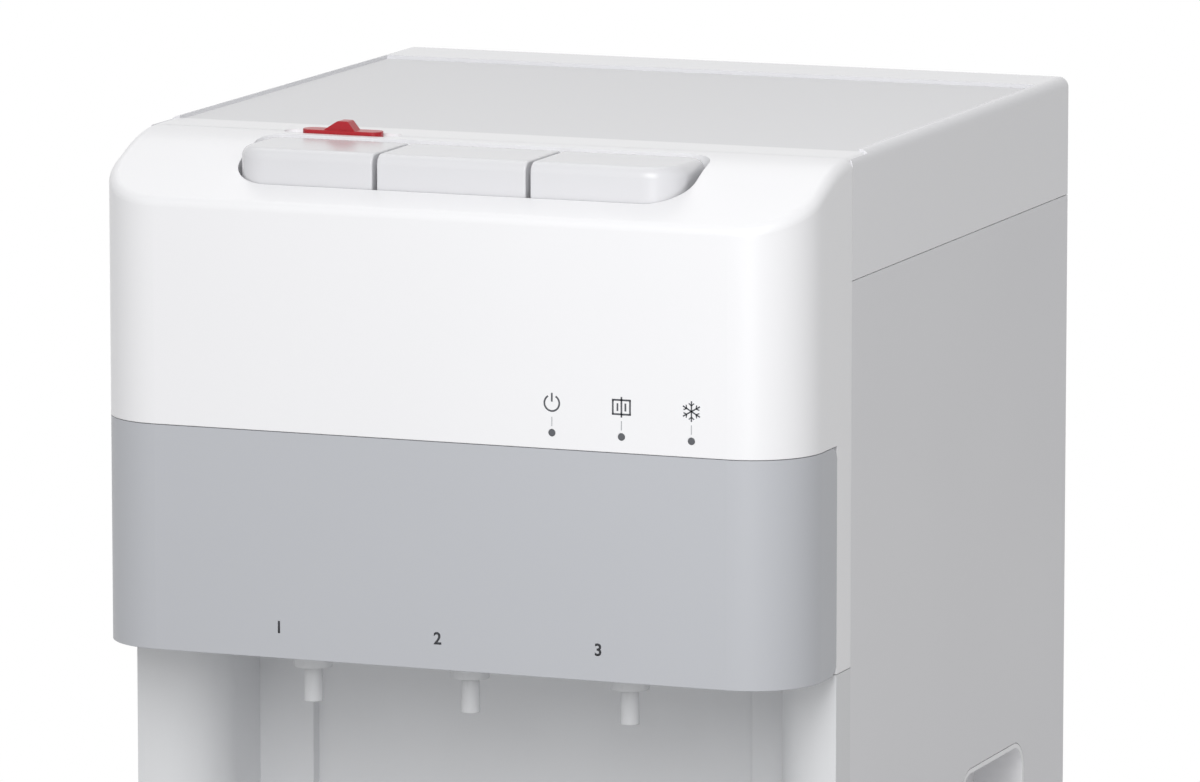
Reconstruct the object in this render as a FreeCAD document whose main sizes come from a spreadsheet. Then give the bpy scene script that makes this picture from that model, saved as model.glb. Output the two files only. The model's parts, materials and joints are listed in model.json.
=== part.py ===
"""Bottom load water cooler: a free-standing cabinet that draws water from a bottle behind its
lower door and serves it hot, warm or cold from three taps under its head.

Frame: +X to the object's right as seen from its front, the front faces -Y, +Z up.
The origin is on the floor, in the middle of the overall footprint. Lengths are in millimetres.
"""
import FreeCAD, Part
import math
import os
import Sketcher

Vector = FreeCAD.Vector
doc = FreeCAD.newDocument("water_cooler")

# ---------------------------------------------------------------- driving dimensions
TABLE = [
    # cabinet
    ("body_width", 310.0, "outside width of the cabinet"),
    ("body_depth", 345.0, "front of the head to the back of the sheet-metal cabinet"),
    ("body_height", 1040.0, "floor to the crest of the head"),
    ("condenser_room", 15.0, "depth that the condenser takes behind the cabinet"),
    ("corner_radius", 30.0, "upright front corners of head, tray housing, door and plinth"),
    ("frame_setback", 48.0, "front of the head to the front of the niche pillars"),
    ("seam_setback", 65.0, "front of the head to the front edge of the steel side panels"),
    ("sheet", 1.0, "thickness of the painted steel sheet"),
    ("shell", 2.5, "wall of the moulded plastic shells"),
    ("fit_gap", 0.3, "clearance between pieces that sit in each other"),
    # feet and plinth
    ("foot_height", 12.0, "height of a foot"),
    ("foot_radius", 18.0, "radius of a foot"),
    ("foot_inset", 34.0, "foot centre from the sides of the cabinet"),
    ("foot_front_inset", 42.0, "front foot centre from the front"),
    ("plinth_height", 30.0, "height of the moulded plinth"),
    # head
    ("head_height", 209.0, "underside of the head to its crest"),
    ("band_height", 94.0, "height of the grey band"),
    ("band_wall", 2.5, "wall of the grey band"),
    ("band_corner", 6.0, "corners of the grey band's rear edges"),
    ("brow_drop", 22.0, "crest down to the top of the head's upright front"),
    ("crest_setback", 52.4, "front of the head to the corner between its slope and its top"),
    ("crest_radius", 75.0, "rounding of that corner"),
    ("rim_radius", 4.5, "rounded outer rim of the head and the top cover"),
    ("bezel_depth", 86.0, "front of the head to the edge of the top cover"),
    ("button_recess_inset", 55.5, "side of the head to the recess for the buttons"),
    ("button_recess_front", 14.9, "front of the head to the front of the recess"),
    ("button_recess_back", 58.2, "front of the head to the back of the recess"),
    ("button_recess_corner", 18.0, "rounded front corners of the recess"),
    ("button_recess_rear_corner", 11.0, "rounded rear corners of the recess"),
    ("recess_skirt", 2.0, "wall of the skirt under the recess"),
    ("recess_skirt_drop", 34.0, "depth of that skirt below the crest"),
    # buttons
    ("button_end_gap", 2.5, "end of the recess to the row of three buttons"),
    ("button_gap", 2.0, "gap between two buttons"),
    ("warm_button_width", 65.0, "width of the middle button"),
    ("button_front_gap", 0.6, "gap in front of the buttons"),
    ("button_back_gap", 1.2, "gap behind the buttons"),
    ("button_sink", 1.3, "top of the buttons below the crest"),
    ("button_height", 24.0, "height of a button's front"),
    ("button_wall", 2.0, "wall of a button"),
    ("button_edge", 4.4, "rounded top edges of the row of buttons"),
    ("button_gap_edge", 0.8, "rounded edges between two buttons"),
    ("button_corner", 15.0, "rounded front corners at the ends of the row"),
    ("button_rear_corner", 9.0, "rounded rear corners at the ends of the row"),
    ("button_toe", 18.0, "depth of the foot under a button's front"),
    ("button_tail", 13.0, "height of a button's back"),
    ("shaft_end", 2.5, "recess to the end of the buttons' shaft in the wall"),
    ("hinge_drop", 9.0, "crest down to the axis of the buttons' shaft"),
    ("hinge_inset", 4.6, "back of the buttons to the axis of their shaft"),
    ("shaft_radius", 1.5, "steel shaft of the buttons"),
    ("running_fit", 0.05, "radial clearance of a shaft in its bore"),
    # child lock
    ("lock_x", -68.0, "centre of the child lock slider"),
    ("lock_setback", 65.5, "front of the head to the middle of the slider"),
    ("lock_length", 35.0, "length of the slider's plate"),
    ("lock_width", 8.6, "depth of the slider's plate"),
    ("lock_corner", 4.0, "rounded ends of the slider's plate"),
    ("lock_plate", 2.3, "thickness of the slider's plate"),
    ("lock_fin_width", 6.2, "depth of the slider's finger fin"),
    ("lock_fin_height", 6.2, "underside of the slider's plate to the top of its fin"),
    ("lock_fin_reach", 8.2, "middle of the slider to the long foot of its fin"),
    ("lock_travel", 7.0, "way of the slider"),
    ("lock_channel_end", 8.0, "end of the slider to the end of its channel"),
    ("lock_channel_gap", 0.5, "gap beside the slider in its channel"),
    ("lock_channel_depth", 1.3, "depth of the channel in the head"),
    ("lock_channel_floor", 1.8, "floor of the channel"),
    ("lock_neck_length", 16.0, "length of the slider's neck in its slot"),
    ("lock_neck_width", 3.8, "depth of that neck"),
    ("lock_keeper_width", 6.8, "depth of the keeper under the slot"),
    ("lock_keeper", 1.6, "thickness of that keeper"),
    ("lock_float", 0.2, "gap between the slider and the surface that it slides on"),
    # taps
    ("tap_end_gap", 27.0, "end of the row of buttons to an outer tap"),
    ("tap_setback", 36.0, "front of the head to the taps"),
    ("tap_skirt_radius", 8.0, "skirt of a tap under the head"),
    ("tap_skirt_drop", 9.5, "length of that skirt below the head"),
    ("nozzle_radius", 4.0, "outlet nozzle of a tap"),
    ("nozzle_drop", 24.0, "length of the nozzle below the head"),
    ("nozzle_bore", 2.6, "bore of the nozzle"),
    ("tap_flange_radius", 14.0, "flange that holds a tap to the ceiling plate"),
    ("tap_body_radius", 11.0, "valve body of a tap"),
    ("tap_body_height", 36.0, "height of the valve body above the ceiling plate"),
    ("skirt_wall", 1.5, "wall of a tap's skirt"),
    ("bonnet_radius", 7.0, "bonnet that guides the push rod"),
    ("bonnet_height", 14.0, "height of that bonnet"),
    ("barb_rise", 21.0, "ceiling plate to the hose barbs of the taps"),
    ("barb_length", 16.0, "length of a hose barb"),
    ("barb_radius", 4.5, "outside of a hose barb, and of the hose on it"),
    ("barb_bore", 2.8, "bore of a hose barb"),
    ("hose_bend", 12.0, "bend of a hose"),
    ("ceiling", 3.0, "thickness of the niche ceiling plate"),
    ("rod_radius", 2.5, "push rod between button and valve"),
    ("stem_radius", 1.5, "valve stem below the push rod"),
    ("valve_disc_radius", 5.5, "valve disc"),
    ("valve_disc", 2.6, "thickness of the valve disc"),
    ("rod_collar_radius", 5.5, "collar that the return spring lifts"),
    ("rod_collar", 3.0, "thickness of that collar"),
    ("spring_length", 24.0, "length of a return spring at rest"),
    ("spring_radius", 4.9, "outer radius of a return spring"),
    ("spring_wire", 0.9, "wire of a return spring"),
    ("guide_floor", 2.5, "floor of the button recess, which guides the rods"),
    ("rod_rest_gap", 0.2, "play of a rod and its spring at rest"),
    # indicators
    ("led_inset", 45.0, "side of the head to the last indicator"),
    ("led_pitch", 30.0, "distance from indicator to indicator"),
    ("led_rise", 6.5, "grey band to the indicators"),
    ("led_radius", 1.5, "light pipe of an indicator"),
    ("board", 1.6, "thickness of a circuit board"),
    ("board_post", 5.0, "posts under the indicator board"),
    # niche
    ("niche_height", 241.0, "floor of the niche to the underside of the head"),
    ("pillar_width", 32.0, "width of a pillar beside the niche"),
    ("pillar_radius", 29.0, "rounded inner edge of a pillar"),
    ("niche_rib_setback", 103.0, "front of the head to the ribs beside the back wall"),
    ("niche_rib_width", 24.5, "width of these ribs"),
    ("niche_back_step", 6.0, "depth of the back wall behind the ribs"),
    # drip tray
    ("housing_height", 34.0, "height of the tray housing"),
    ("tray_inset", 13.0, "side wall of the niche to the drip tray"),
    ("tray_floor", 6.0, "floor of the tray housing under the tray"),
    ("tray_wall", 2.0, "wall of the drip tray"),
    ("tray_face", 3.0, "face of the drip tray"),
    ("grille", 3.0, "thickness of the drip grille"),
    ("grille_slot", 4.0, "width of a slot in the grille"),
    ("grille_pitch", 8.0, "distance from slot to slot"),
    ("grille_margin", 9.0, "border around the slots"),
    # door
    ("door_gap", 2.0, "gap above and below the door"),
    ("door_wall", 3.0, "wall of the door's outer panel"),
    ("door_back_gap", 1.5, "gap between the door and the door frame"),
    ("door_liner_setback", 30.0, "front of the door to its inner panel"),
    ("door_liner", 2.5, "thickness of the inner panel"),
    ("door_pivot_inset", 10.0, "side of the cabinet to the door's pivot"),
    ("door_pivot_setback", 20.0, "front of the door to its pivot"),
    ("door_pin_radius", 3.0, "hinge pin of the door"),
    ("door_pin_depth", 14.0, "length of a hinge pin in the door and in its seat"),
    ("door_boss_radius", 6.5, "boss around a hinge pin"),
    ("grip_half", 46.0, "half the length of the finger grip in the door's top edge"),
    ("grip_depth", 15.0, "depth of the finger grip"),
    ("grip_height", 28.0, "height of the finger grip"),
    ("grip_lip", 10.0, "height of the lip that hides the bottom of the grip"),
    ("catch_height", 300.0, "floor to the magnetic catch"),
    ("catch_length", 44.0, "length of the magnetic catch"),
    # bottle bay
    ("bay_inset", 12.0, "side of the cabinet to the bay liner"),
    ("bay_back_setback", 326.0, "front of the cabinet to the back of the bay liner"),
    ("liner", 1.5, "thickness of the bay liner"),
    ("deck", 1.5, "thickness of the deck over the bay"),
    ("deck_flange", 18.0, "folded edge of the deck"),
    ("probe_inset", 43.0, "side of the cabinet to the hanging bottle probe"),
    ("probe_setback", 250.0, "front of the cabinet to the hanging probe"),
    ("probe_hang", 84.5, "deck down to the underside of the probe's collar"),
    ("probe_tube_radius", 7.0, "dip tube of the probe"),
    ("probe_tube_bore", 5.0, "bore of the dip tube"),
    ("probe_foot_rise", 28.0, "plinth to the foot of the dip tube"),
    ("probe_collar_radius", 21.0, "collar that sits on the bottle's neck"),
    ("probe_collar", 16.0, "height of that collar"),
    ("hanger_gap", 1.5, "clearance of the dip tube in its hanger"),
    # sides
    ("cover_skirt", 50.0, "height of the top cover's side skirts"),
    ("cover_rear_skirt", 21.0, "height of the top cover's rear skirt"),
    ("cover_rise", 1.0, "crest of the head to the top of the top cover's rim"),
    ("cover_rim", 2.6, "height of the top cover's rim above its underside"),
    ("cover_recess", 1.6, "depth of the recessed field of the top cover"),
    ("cover_side_rim", 4.5, "width of the rim at the sides"),
    ("cover_rear_rim", 32.0, "width of the rim at the back"),
    ("flange", 13.0, "folded flanges of the side panels"),
    ("grip_setback", 205.0, "front of the cabinet to the carrying grips"),
    ("carry_length", 86.0, "length of a carrying grip"),
    ("carry_rise", 204.0, "underside of the tray housing to the top of a carrying grip"),
    ("carry_height", 46.0, "height of a carrying grip"),
    ("carry_corner", 14.0, "rounded corners of a carrying grip"),
    ("carry_depth", 24.0, "depth of a carrying grip"),
    ("carry_wall", 2.0, "wall of a carrying grip's cup"),
    ("carry_lip", 6.0, "flange of the cup behind the sheet"),
    # tanks
    ("shelf_rise", 216.0, "underside of the tray housing to the top of the tank shelf"),
    ("shelf_flange", 22.0, "folded edge of the tank shelf"),
    ("hose_hole", 3.0, "clearance of a hose or pipe in the tank shelf"),
    ("cold_tank_radius", 62.0, "cold tank"),
    ("cold_tank_height", 180.0, "height of the cold tank"),
    ("insulation_inset", 62.0, "side of the cabinet to the foam blocks around the cold tank"),
    ("insulation_half", 93.0, "half the depth of these foam blocks"),
    ("insulation_corner", 20.0, "rounded corners of these foam blocks"),
    ("insulation_wall", 22.0, "foam under and over the cold tank"),
    ("cold_setback", 226.0, "front of the cabinet to the middle of the cold tank"),
    ("jacket", 5.0, "thickness of the evaporator jacket"),
    ("jacket_height", 100.0, "height of the evaporator jacket"),
    ("hot_tank_radius", 50.0, "hot tank"),
    ("hot_tank_height", 150.0, "height of the hot tank"),
    ("hot_inset", 77.0, "side of the cabinet to the middle of the hot tank"),
    ("hot_setback", 255.0, "front of the cabinet to the hot tank"),
    ("hot_leg", 32.0, "legs of the hot tank"),
    ("hot_leg_radius", 4.0, "radius of such a leg"),
    ("hot_spout_offset", 30.0, "middle of the hot tank to its spout"),
    ("feed_x", -45.0, "pipe from the cold tank down to the hot tank"),
    ("feed_setback", 240.0, "front of the cabinet to that pipe"),
    ("tank_skin", 1.5, "steel of the tanks"),
    ("heater", 2.5, "thickness of the heater band"),
    ("heater_height", 60.0, "height of the heater band"),
    ("drain_radius", 8.0, "drain outlet"),
    ("drain_reach", 11.0, "length of the drain outlet behind the cabinet"),
    ("drain_cap_wall", 3.0, "wall of the drain cap"),
    ("pump_x", -20.0, "middle of the cabinet to the pump"),
    ("pump_setback", 152.0, "front of the cabinet to the pump"),
    ("pump_half_width", 26.0, "half the width of the pump's base"),
    ("pump_half_depth", 18.0, "half the depth of the pump's base"),
    ("pump_base", 5.0, "thickness of that base"),
    ("pump_radius", 17.5, "pump head"),
    ("pump_height", 24.0, "height of the pump head"),
    ("motor_radius", 14.0, "motor of the pump"),
    ("motor_height", 34.0, "height of that motor"),
    ("riser_x", 72.0, "middle of the cabinet to the rising hose"),
    ("riser_setback", 121.0, "front of the cabinet to the rising hose"),
    ("fill_x", 20.0, "middle of the cabinet to the cold tank's filling pipe"),
    # compressor
    ("compressor_radius", 56.0, "compressor can"),
    ("compressor_height", 128.0, "height of the can"),
    ("compressor_inset", 77.0, "side of the cabinet to the middle of the compressor"),
    ("compressor_foot", 3.0, "thickness of its foot plate"),
    ("compressor_foot_x", 52.0, "middle of the can to its mounts, sideways"),
    ("compressor_foot_y", 38.0, "middle of the can to its mounts, front to back"),
    ("compressor_dome", 38.0, "height of the can's dome"),
    ("suction_inset", 48.0, "side of the cabinet to the suction pipe"),
    ("suction_radius", 3.0, "suction pipe"),
    ("capillary_radius", 1.1, "capillary pipe"),
    ("capillary_rise", 136.0, "foot of the cold tank to the capillary's inlet"),
    ("drier_radius", 9.0, "filter drier"),
    ("drier_length", 90.0, "length of the filter drier"),
    ("drier_cone", 12.0, "length of its tapered ends"),
    ("drier_rise", 26.0, "condenser's return pipe to the drier"),
    ("drier_setback", 320.0, "front of the cabinet to the filter drier"),
    ("compressor_setback", 245.0, "front of the cabinet to the compressor"),
    ("mount_height", 12.0, "rubber mounts under the compressor"),
    ("mount_radius", 9.0, "rubber mounts under the compressor"),
    # condenser
    ("condenser_inset", 43.0, "side of the cabinet to the condenser's bends"),
    ("condenser_bottom", 112.0, "floor to the lowest run of the condenser"),
    ("condenser_rise", 18.0, "underside of the tray housing to the condenser's top run"),
    ("condenser_runs", 12.0, "number of runs"),
    ("condenser_tube", 2.4, "radius of the condenser tube"),
    ("condenser_wire", 0.8, "radius of a condenser wire"),
    ("condenser_wire_pitch", 9.0, "distance from wire to wire"),
    ("condenser_down_inset", 33.0, "side of the cabinet to the condenser's outer pipe"),
    ("wire_gap", 0.05, "gap between the condenser's tube and its wires and brackets"),
    ("pipe_hole", 5.0, "radius of the holes for the condenser's pipes"),
    ("pipe_bend", 8.0, "bend of a copper pipe"),
    # rear
    ("vent_width", 74.0, "length of a vent slot"),
    ("vent_spread", 46.0, "middle of the cabinet to the middle of the vent slots"),
    ("vent_rise", 74.0, "deck to the lowest vent slot"),
    ("vent_slot", 4.0, "height of a vent slot"),
    ("vent_pitch", 11.0, "distance from vent slot to vent slot"),
    ("vent_rows", 10.0, "vent slots on top of each other"),
    ("switch_inset", 29.0, "side of the cabinet to the rear switches"),
    ("switch_drop", 140.0, "crest down to the lower rear switch"),
    ("switch_pitch", 34.0, "distance between the rear switches"),
    ("switch_width", 13.0, "width of a switch's opening"),
    ("switch_length", 19.0, "height of a switch's opening"),
    ("switch_body", 16.0, "depth of a switch behind the panel"),
    ("switch_tilt", 8.0, "degrees that a rocker leans either way"),
    ("inlet_inset", 43.0, "side of the cabinet to the power inlet"),
    ("inlet_rise", 234.0, "underside of the tray housing to the middle of the power inlet"),
    ("inlet_width", 27.0, "width of the power inlet's opening"),
    ("inlet_tall", 19.5, "height of the power inlet's opening"),
    ("inlet_depth", 16.0, "depth of the inlet behind the panel"),
    ("inlet_ear", 10.0, "flange beside the inlet"),
    ("screw_head_radius", 4.0, "head of a cabinet screw"),
    ("screw_head", 2.2, "height of that head"),
    ("screw_radius", 1.8, "shank of a cabinet screw"),
    ("control_height", 80.0, "height of the control board"),
    ("control_width", 120.0, "width of the control board"),
    ("control_rise", 60.0, "floor of the niche to the control board"),
    ("control_margin", 6.0, "edge of the control board to its posts"),
    ("relay_depth", 15.0, "depth of a relay on the control board"),
    ("standoff", 6.0, "posts under the control board"),
]

sheet = doc.addObject("Spreadsheet::Sheet", "dims")


class Size:
    """A length: its number, and the expression that ties it to the spreadsheet."""

    def __init__(self, text, number):
        self.text = text
        self.number = number

    def __add__(self, other):
        return combine(self, "+", other, self.number + size(other).number)

    def __radd__(self, other):
        return size(other) + self

    def __sub__(self, other):
        return combine(self, "-", other, self.number - size(other).number)

    def __rsub__(self, other):
        return size(other) - self

    def __mul__(self, other):
        return combine(self, "*", other, self.number * size(other).number)

    def __rmul__(self, other):
        return size(other) * self

    def __truediv__(self, other):
        return combine(self, "/", other, self.number / size(other).number)

    def __neg__(self):
        return size(0) - self


def size(value):
    """Turn a plain number into a Size; a Size stays as it is."""
    return value if isinstance(value, Size) else Size(f"{float(value):.12g}", float(value))


def combine(left, sign, right, number):
    return Size(f"({size(left).text} {sign} ({size(right).text}))", number)


def root(value):
    return Size(f"sqrt({value.text})", math.sqrt(value.number))


def fill_sheet():
    """Write the driving dimensions into the sheet and give each one back under its name."""
    named = {}
    for row, (alias, value, meaning) in enumerate(TABLE, start=1):
        sheet.set(f"A{row}", str(value))
        sheet.setAlias(f"A{row}", alias)
        sheet.set(f"B{row}", meaning)
        named[alias] = Size(f"dims.{alias}", value)
    doc.recompute()
    return named


class Named:
    pass


D = Named()
D.__dict__.update(fill_sheet())

# ---------------------------------------------------------------- places that follow from them
half = D.body_width / 2
front = -(D.body_depth + D.condenser_room) / 2
back = front + D.body_depth
y_frame = front + D.frame_setback
y_seam = front + D.seam_setback
plinth_top = D.foot_height + D.plinth_height
top = D.body_height
brow_z = top - D.brow_drop
head_bottom = top - D.head_height
band_top = head_bottom + D.band_height
niche_floor = head_bottom - D.niche_height
housing_bottom = niche_floor - D.housing_height
rib_y = front + D.niche_rib_setback
niche_back = rib_y + D.niche_back_step
niche_half = half - D.pillar_width
tray_half = niche_half - D.tray_inset
recess_half = half - D.button_recess_inset
row_half = recess_half - D.button_end_gap
tap_x = row_half - D.tap_end_gap
tap_y = front + D.tap_setback
TAPS = [("hot", -tap_x), ("warm", size(0)), ("cold", tap_x)]
inside_half = half - D.sheet - D.fit_gap
panel_inner = back - D.sheet
deck_bottom = housing_bottom - D.deck
door_bottom = plinth_top + D.door_gap
door_top = housing_bottom - D.door_gap
door_back = y_frame - D.door_back_gap
pivot_x = -half + D.door_pivot_inset
pivot_y = front + D.door_pivot_setback
head_inset = D.band_wall + D.fit_gap
hot_x = -half + D.hot_inset
compressor_x = half - D.compressor_inset
suction_x = half - D.suction_inset
condenser_half = half - D.condenser_inset
condenser_down_x = half - D.condenser_down_inset

nodes = []


# ---------------------------------------------------------------- drawing helpers
def bind(item, path, value):
    item.setExpression(path, size(value).text)


def put(item, x, y, z):
    for axis, value in zip("xyz", (x, y, z)):
        bind(item, f"Placement.Base.{axis}", value)
    return item


def box(x0, x1, y0, y1, z0, z1):
    item = doc.addObject("Part::Box", "block")
    for side, low, high in (("Length", x0, x1), ("Width", y0, y1), ("Height", z0, z1)):
        bind(item, side, size(high) - low)
    return put(item, x0, y0, z0)


TURNS = {
    "Z": FreeCAD.Rotation(),
    "X": FreeCAD.Rotation(Vector(0, 1, 0), 90),
    "Y": FreeCAD.Rotation(Vector(1, 0, 0), -90),
}


def cylinder(x, y, z, radius, length, axis="Z"):
    item = doc.addObject("Part::Cylinder", "round")
    bind(item, "Radius", radius)
    bind(item, "Height", length)
    item.Placement = FreeCAD.Placement(Vector(), TURNS[axis])
    return put(item, x, y, z)


def cone(x, y, z, radius, end_radius, length):
    item = doc.addObject("Part::Cone", "taper")
    bind(item, "Radius1", radius)
    bind(item, "Radius2", end_radius)
    bind(item, "Height", length)
    return put(item, x, y, z)


def group(*items):
    if len(items) == 1:
        return items[0]
    item = doc.addObject("Part::Compound", "set_of")
    item.Links = list(items)
    return item


def cut(base, *tools):
    item = doc.addObject("Part::Cut", "cut_from")
    item.Base = base
    item.Tool = group(*tools)
    return item


def fuse(*items):
    item = doc.addObject("Part::MultiFuse", "joined")
    item.Shapes = list(items)
    item.Refine = True
    return item


def common(first, second):
    item = doc.addObject("Part::Common", "shared")
    item.Base = first
    item.Tool = second
    return item


def node(label, item):
    """Keep an object as the sub-part of that name."""
    item.Label = label
    nodes.append(item)
    return item


def unit(a, b):
    run = math.hypot(b[0] - a[0], b[1] - a[1])
    return (b[0] - a[0]) / run, (b[1] - a[1]) / run


def draw(sketch, corners):
    """Draw a closed outline. A corner is (u, v) or, rounded, (u, v, radius)."""
    count = len(corners)
    spots = [(size(c[0]).number, size(c[1]).number) for c in corners]
    radii = [size(c[2]).number if len(c) > 2 else 0.0 for c in corners]
    starts, ends, arcs = [], [], []
    for i, spot in enumerate(spots):
        before, after = unit(spot, spots[i - 1]), unit(spot, spots[(i + 1) % count])
        if not radii[i]:
            ends.append(spot)
            starts.append(spot)
            arcs.append(None)
            continue
        angle = math.acos(before[0] * after[0] + before[1] * after[1])
        reach = radii[i] / math.tan(angle / 2)
        enter = (spot[0] + before[0] * reach, spot[1] + before[1] * reach)
        leave = (spot[0] + after[0] * reach, spot[1] + after[1] * reach)
        middle = (before[0] + after[0], before[1] + after[1])
        scale = radii[i] / math.sin(angle / 2) / math.hypot(*middle)
        centre = (spot[0] + middle[0] * scale, spot[1] + middle[1] * scale)
        left_turn = before[0] * after[1] - before[1] * after[0] < 0
        first, last = (enter, leave) if left_turn else (leave, enter)
        a0 = math.atan2(first[1] - centre[1], first[0] - centre[0])
        a1 = math.atan2(last[1] - centre[1], last[0] - centre[0])
        arcs.append((centre, a0, a1 if a1 > a0 else a1 + 2 * math.pi, left_turn))
        ends.append(enter)
        starts.append(leave)
    for i in range(count):
        line = Part.LineSegment(Vector(*starts[i], 0), Vector(*ends[(i + 1) % count], 0))
        sketch.addGeometry(line, False)
    for i, corner in enumerate(corners):
        before = (i - 1) % count
        if arcs[i] is None:
            sketch.addConstraint(Sketcher.Constraint("Coincident", before, 2, i, 1))
            held, end = i, 1
        else:
            centre, a0, a1, left_turn = arcs[i]
            circle = Part.Circle(Vector(*centre, 0), Vector(0, 0, 1), radii[i])
            arc = sketch.addGeometry(Part.ArcOfCircle(circle, a0, a1), False)
            enter, leave = (1, 2) if left_turn else (2, 1)
            sketch.addConstraint(Sketcher.Constraint("Tangent", before, 2, arc, enter))
            sketch.addConstraint(Sketcher.Constraint("Tangent", arc, leave, i, 1))
            k = sketch.addConstraint(Sketcher.Constraint("Radius", arc, radii[i]))
            bind(sketch, f"Constraints[{k}]", corner[2])
            held, end = sketch.addGeometry(Part.Point(Vector(*spots[i], 0)), True), 1
            sketch.addConstraint(Sketcher.Constraint("PointOnObject", held, 1, before))
            sketch.addConstraint(Sketcher.Constraint("PointOnObject", held, 1, i))
        for kind, value in (("DistanceX", corner[0]), ("DistanceY", corner[1])):
            number = size(value).number
            k = sketch.addConstraint(Sketcher.Constraint(kind, -1, 1, held, end, number))
            bind(sketch, f"Constraints[{k}]", value)


def draw_circle(sketch, u, v, radius):
    circle = Part.Circle(Vector(size(u).number, size(v).number, 0), Vector(0, 0, 1),
                         size(radius).number)
    k = sketch.addGeometry(circle, False)
    for kind, value in (("DistanceX", u), ("DistanceY", v)):
        c = sketch.addConstraint(Sketcher.Constraint(kind, -1, 1, k, 3, size(value).number))
        bind(sketch, f"Constraints[{c}]", value)
    c = sketch.addConstraint(Sketcher.Constraint("Radius", k, size(radius).number))
    bind(sketch, f"Constraints[{c}]", radius)


SKETCH_TURNS = {
    "XY": FreeCAD.Rotation(),
    "YZ": FreeCAD.Rotation(Vector(1, 1, 1), 120),
    "XZ": FreeCAD.Rotation(Vector(1, 0, 0), 90),
}
SKETCH_AXIS = {"XY": "z", "YZ": "x", "XZ": "y"}


def prism(plane, corners, low, high):
    """An outline drawn on a plane and carried from low to high across it."""
    sketch = doc.addObject("Sketcher::SketchObject", "outline")
    sketch.Placement = FreeCAD.Placement(Vector(), SKETCH_TURNS[plane])
    bind(sketch, f"Placement.Base.{SKETCH_AXIS[plane]}", high if plane == "XZ" else low)
    draw(sketch, corners)
    item = doc.addObject("Part::Extrusion", "prism")
    item.Base = sketch
    item.DirMode = "Normal"
    item.Solid = True
    bind(item, "LengthFwd", size(high) - low)
    return item


def body(label):
    item = doc.addObject("PartDesign::Body", label)
    return node(label, item)


def body_sketch(owner, plane, offset):
    sketch = owner.newObject("Sketcher::SketchObject", "profile")
    support = [o for o in owner.Origin.OriginFeatures if o.Role == f"{plane}_Plane"][0]
    sketch.AttachmentSupport = [(support, "")]
    sketch.MapMode = "FlatFace"
    bind(sketch, "AttachmentOffset.Base.z", offset)
    return sketch


def extrude(owner, kind, sketch, length):
    """Pad or pocket a sketch of a body, and make sure that it changed the body."""
    doc.recompute()
    before = owner.Shape.Volume if owner.Tip else 0.0
    feature = owner.newObject(f"PartDesign::{kind}", kind.lower())
    feature.Profile = sketch
    bind(feature, "Length", length)
    doc.recompute()
    if abs(owner.Shape.Volume - before) < 1e-6:
        raise RuntimeError(f"{owner.Label}: a {kind} changed nothing")
    return feature


def slab(owner, kind, plane, corners, low, high):
    """Pad, or cut, an outline between two places along the plane's normal."""
    start = {"XY": (low, high), "YZ": (low, high), "XZ": (-size(high), -size(low))}[plane]
    sketch = body_sketch(owner, plane, start[0] if kind == "Pad" else start[1])
    draw(sketch, corners)
    return extrude(owner, kind, sketch, size(high) - low)


def round_edges(owner, feature, radius, *tests):
    """Fillet the edges of a body's last feature that one of the tests picks."""
    doc.recompute()
    names = [f"Edge{i}" for i, e in enumerate(feature.Shape.Edges, start=1)
             if any(test(e) for test in tests)]
    item = owner.newObject("PartDesign::Fillet", "rounding")
    item.Base = (feature, names)
    bind(item, "Radius", radius)
    doc.recompute()
    return item


def middle_of(edge):
    return edge.valueAt((edge.FirstParameter + edge.LastParameter) / 2)


def ends_at(**place):
    """Tells whether both ends of an edge lie at those values of x, y or z."""
    def wanted(edge):
        return all(abs(getattr(v.Point, axis) - size(value).number) < 1e-4
                   for v in edge.Vertexes for axis, value in place.items())
    return wanted


def rectangle(x0, x1, y0, y1):
    return [(x0, y0), (x1, y0), (x1, y1), (x0, y1)]


def front_plan(inset, y_end):
    """The plan that head, tray housing, door and plinth share, set in by a wall."""
    x = half - inset
    y = front + inset
    r = D.corner_radius - inset
    return [(-x, y, r), (x, y, r), (x, y_end), (-x, y_end)]


def tube(points, radius, bend):
    """A tube along straight runs joined by arcs. A point may carry a bend radius of its own."""
    spots = [Vector(*(size(v).number for v in p[:3])) for p in points]
    bends = [p[3] if len(p) > 3 else size(bend).number for p in points]
    edges, here = [], spots[0]
    for a, b, c, r in zip(spots, spots[1:], spots[2:], bends[1:]):
        u, v = (a - b).normalize(), (c - b).normalize()
        angle = u.getAngle(v)
        reach = r / math.tan(angle / 2)
        enter, leave = b + u * reach, b + v * reach
        centre = b + (u + v).normalize() * (r / math.sin(angle / 2))
        middle = centre + (b - centre).normalize() * r
        if (enter - here).Length > 1e-6:
            edges.append(Part.LineSegment(here, enter).toShape())
        edges.append(Part.Arc(enter, middle, leave).toShape())
        here = leave
    edges.append(Part.LineSegment(here, spots[-1]).toShape())
    ring = Part.Wire(Part.Circle(spots[0], spots[1] - spots[0], size(radius).number).toShape())
    return Part.Wire(edges).makePipeShell([ring], True, False)


def shaped(label, shape):
    """A sub-part whose shape is worked out here."""
    item = doc.addObject("Part::Feature", label)
    item.Shape = shape
    return node(label, item)


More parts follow.
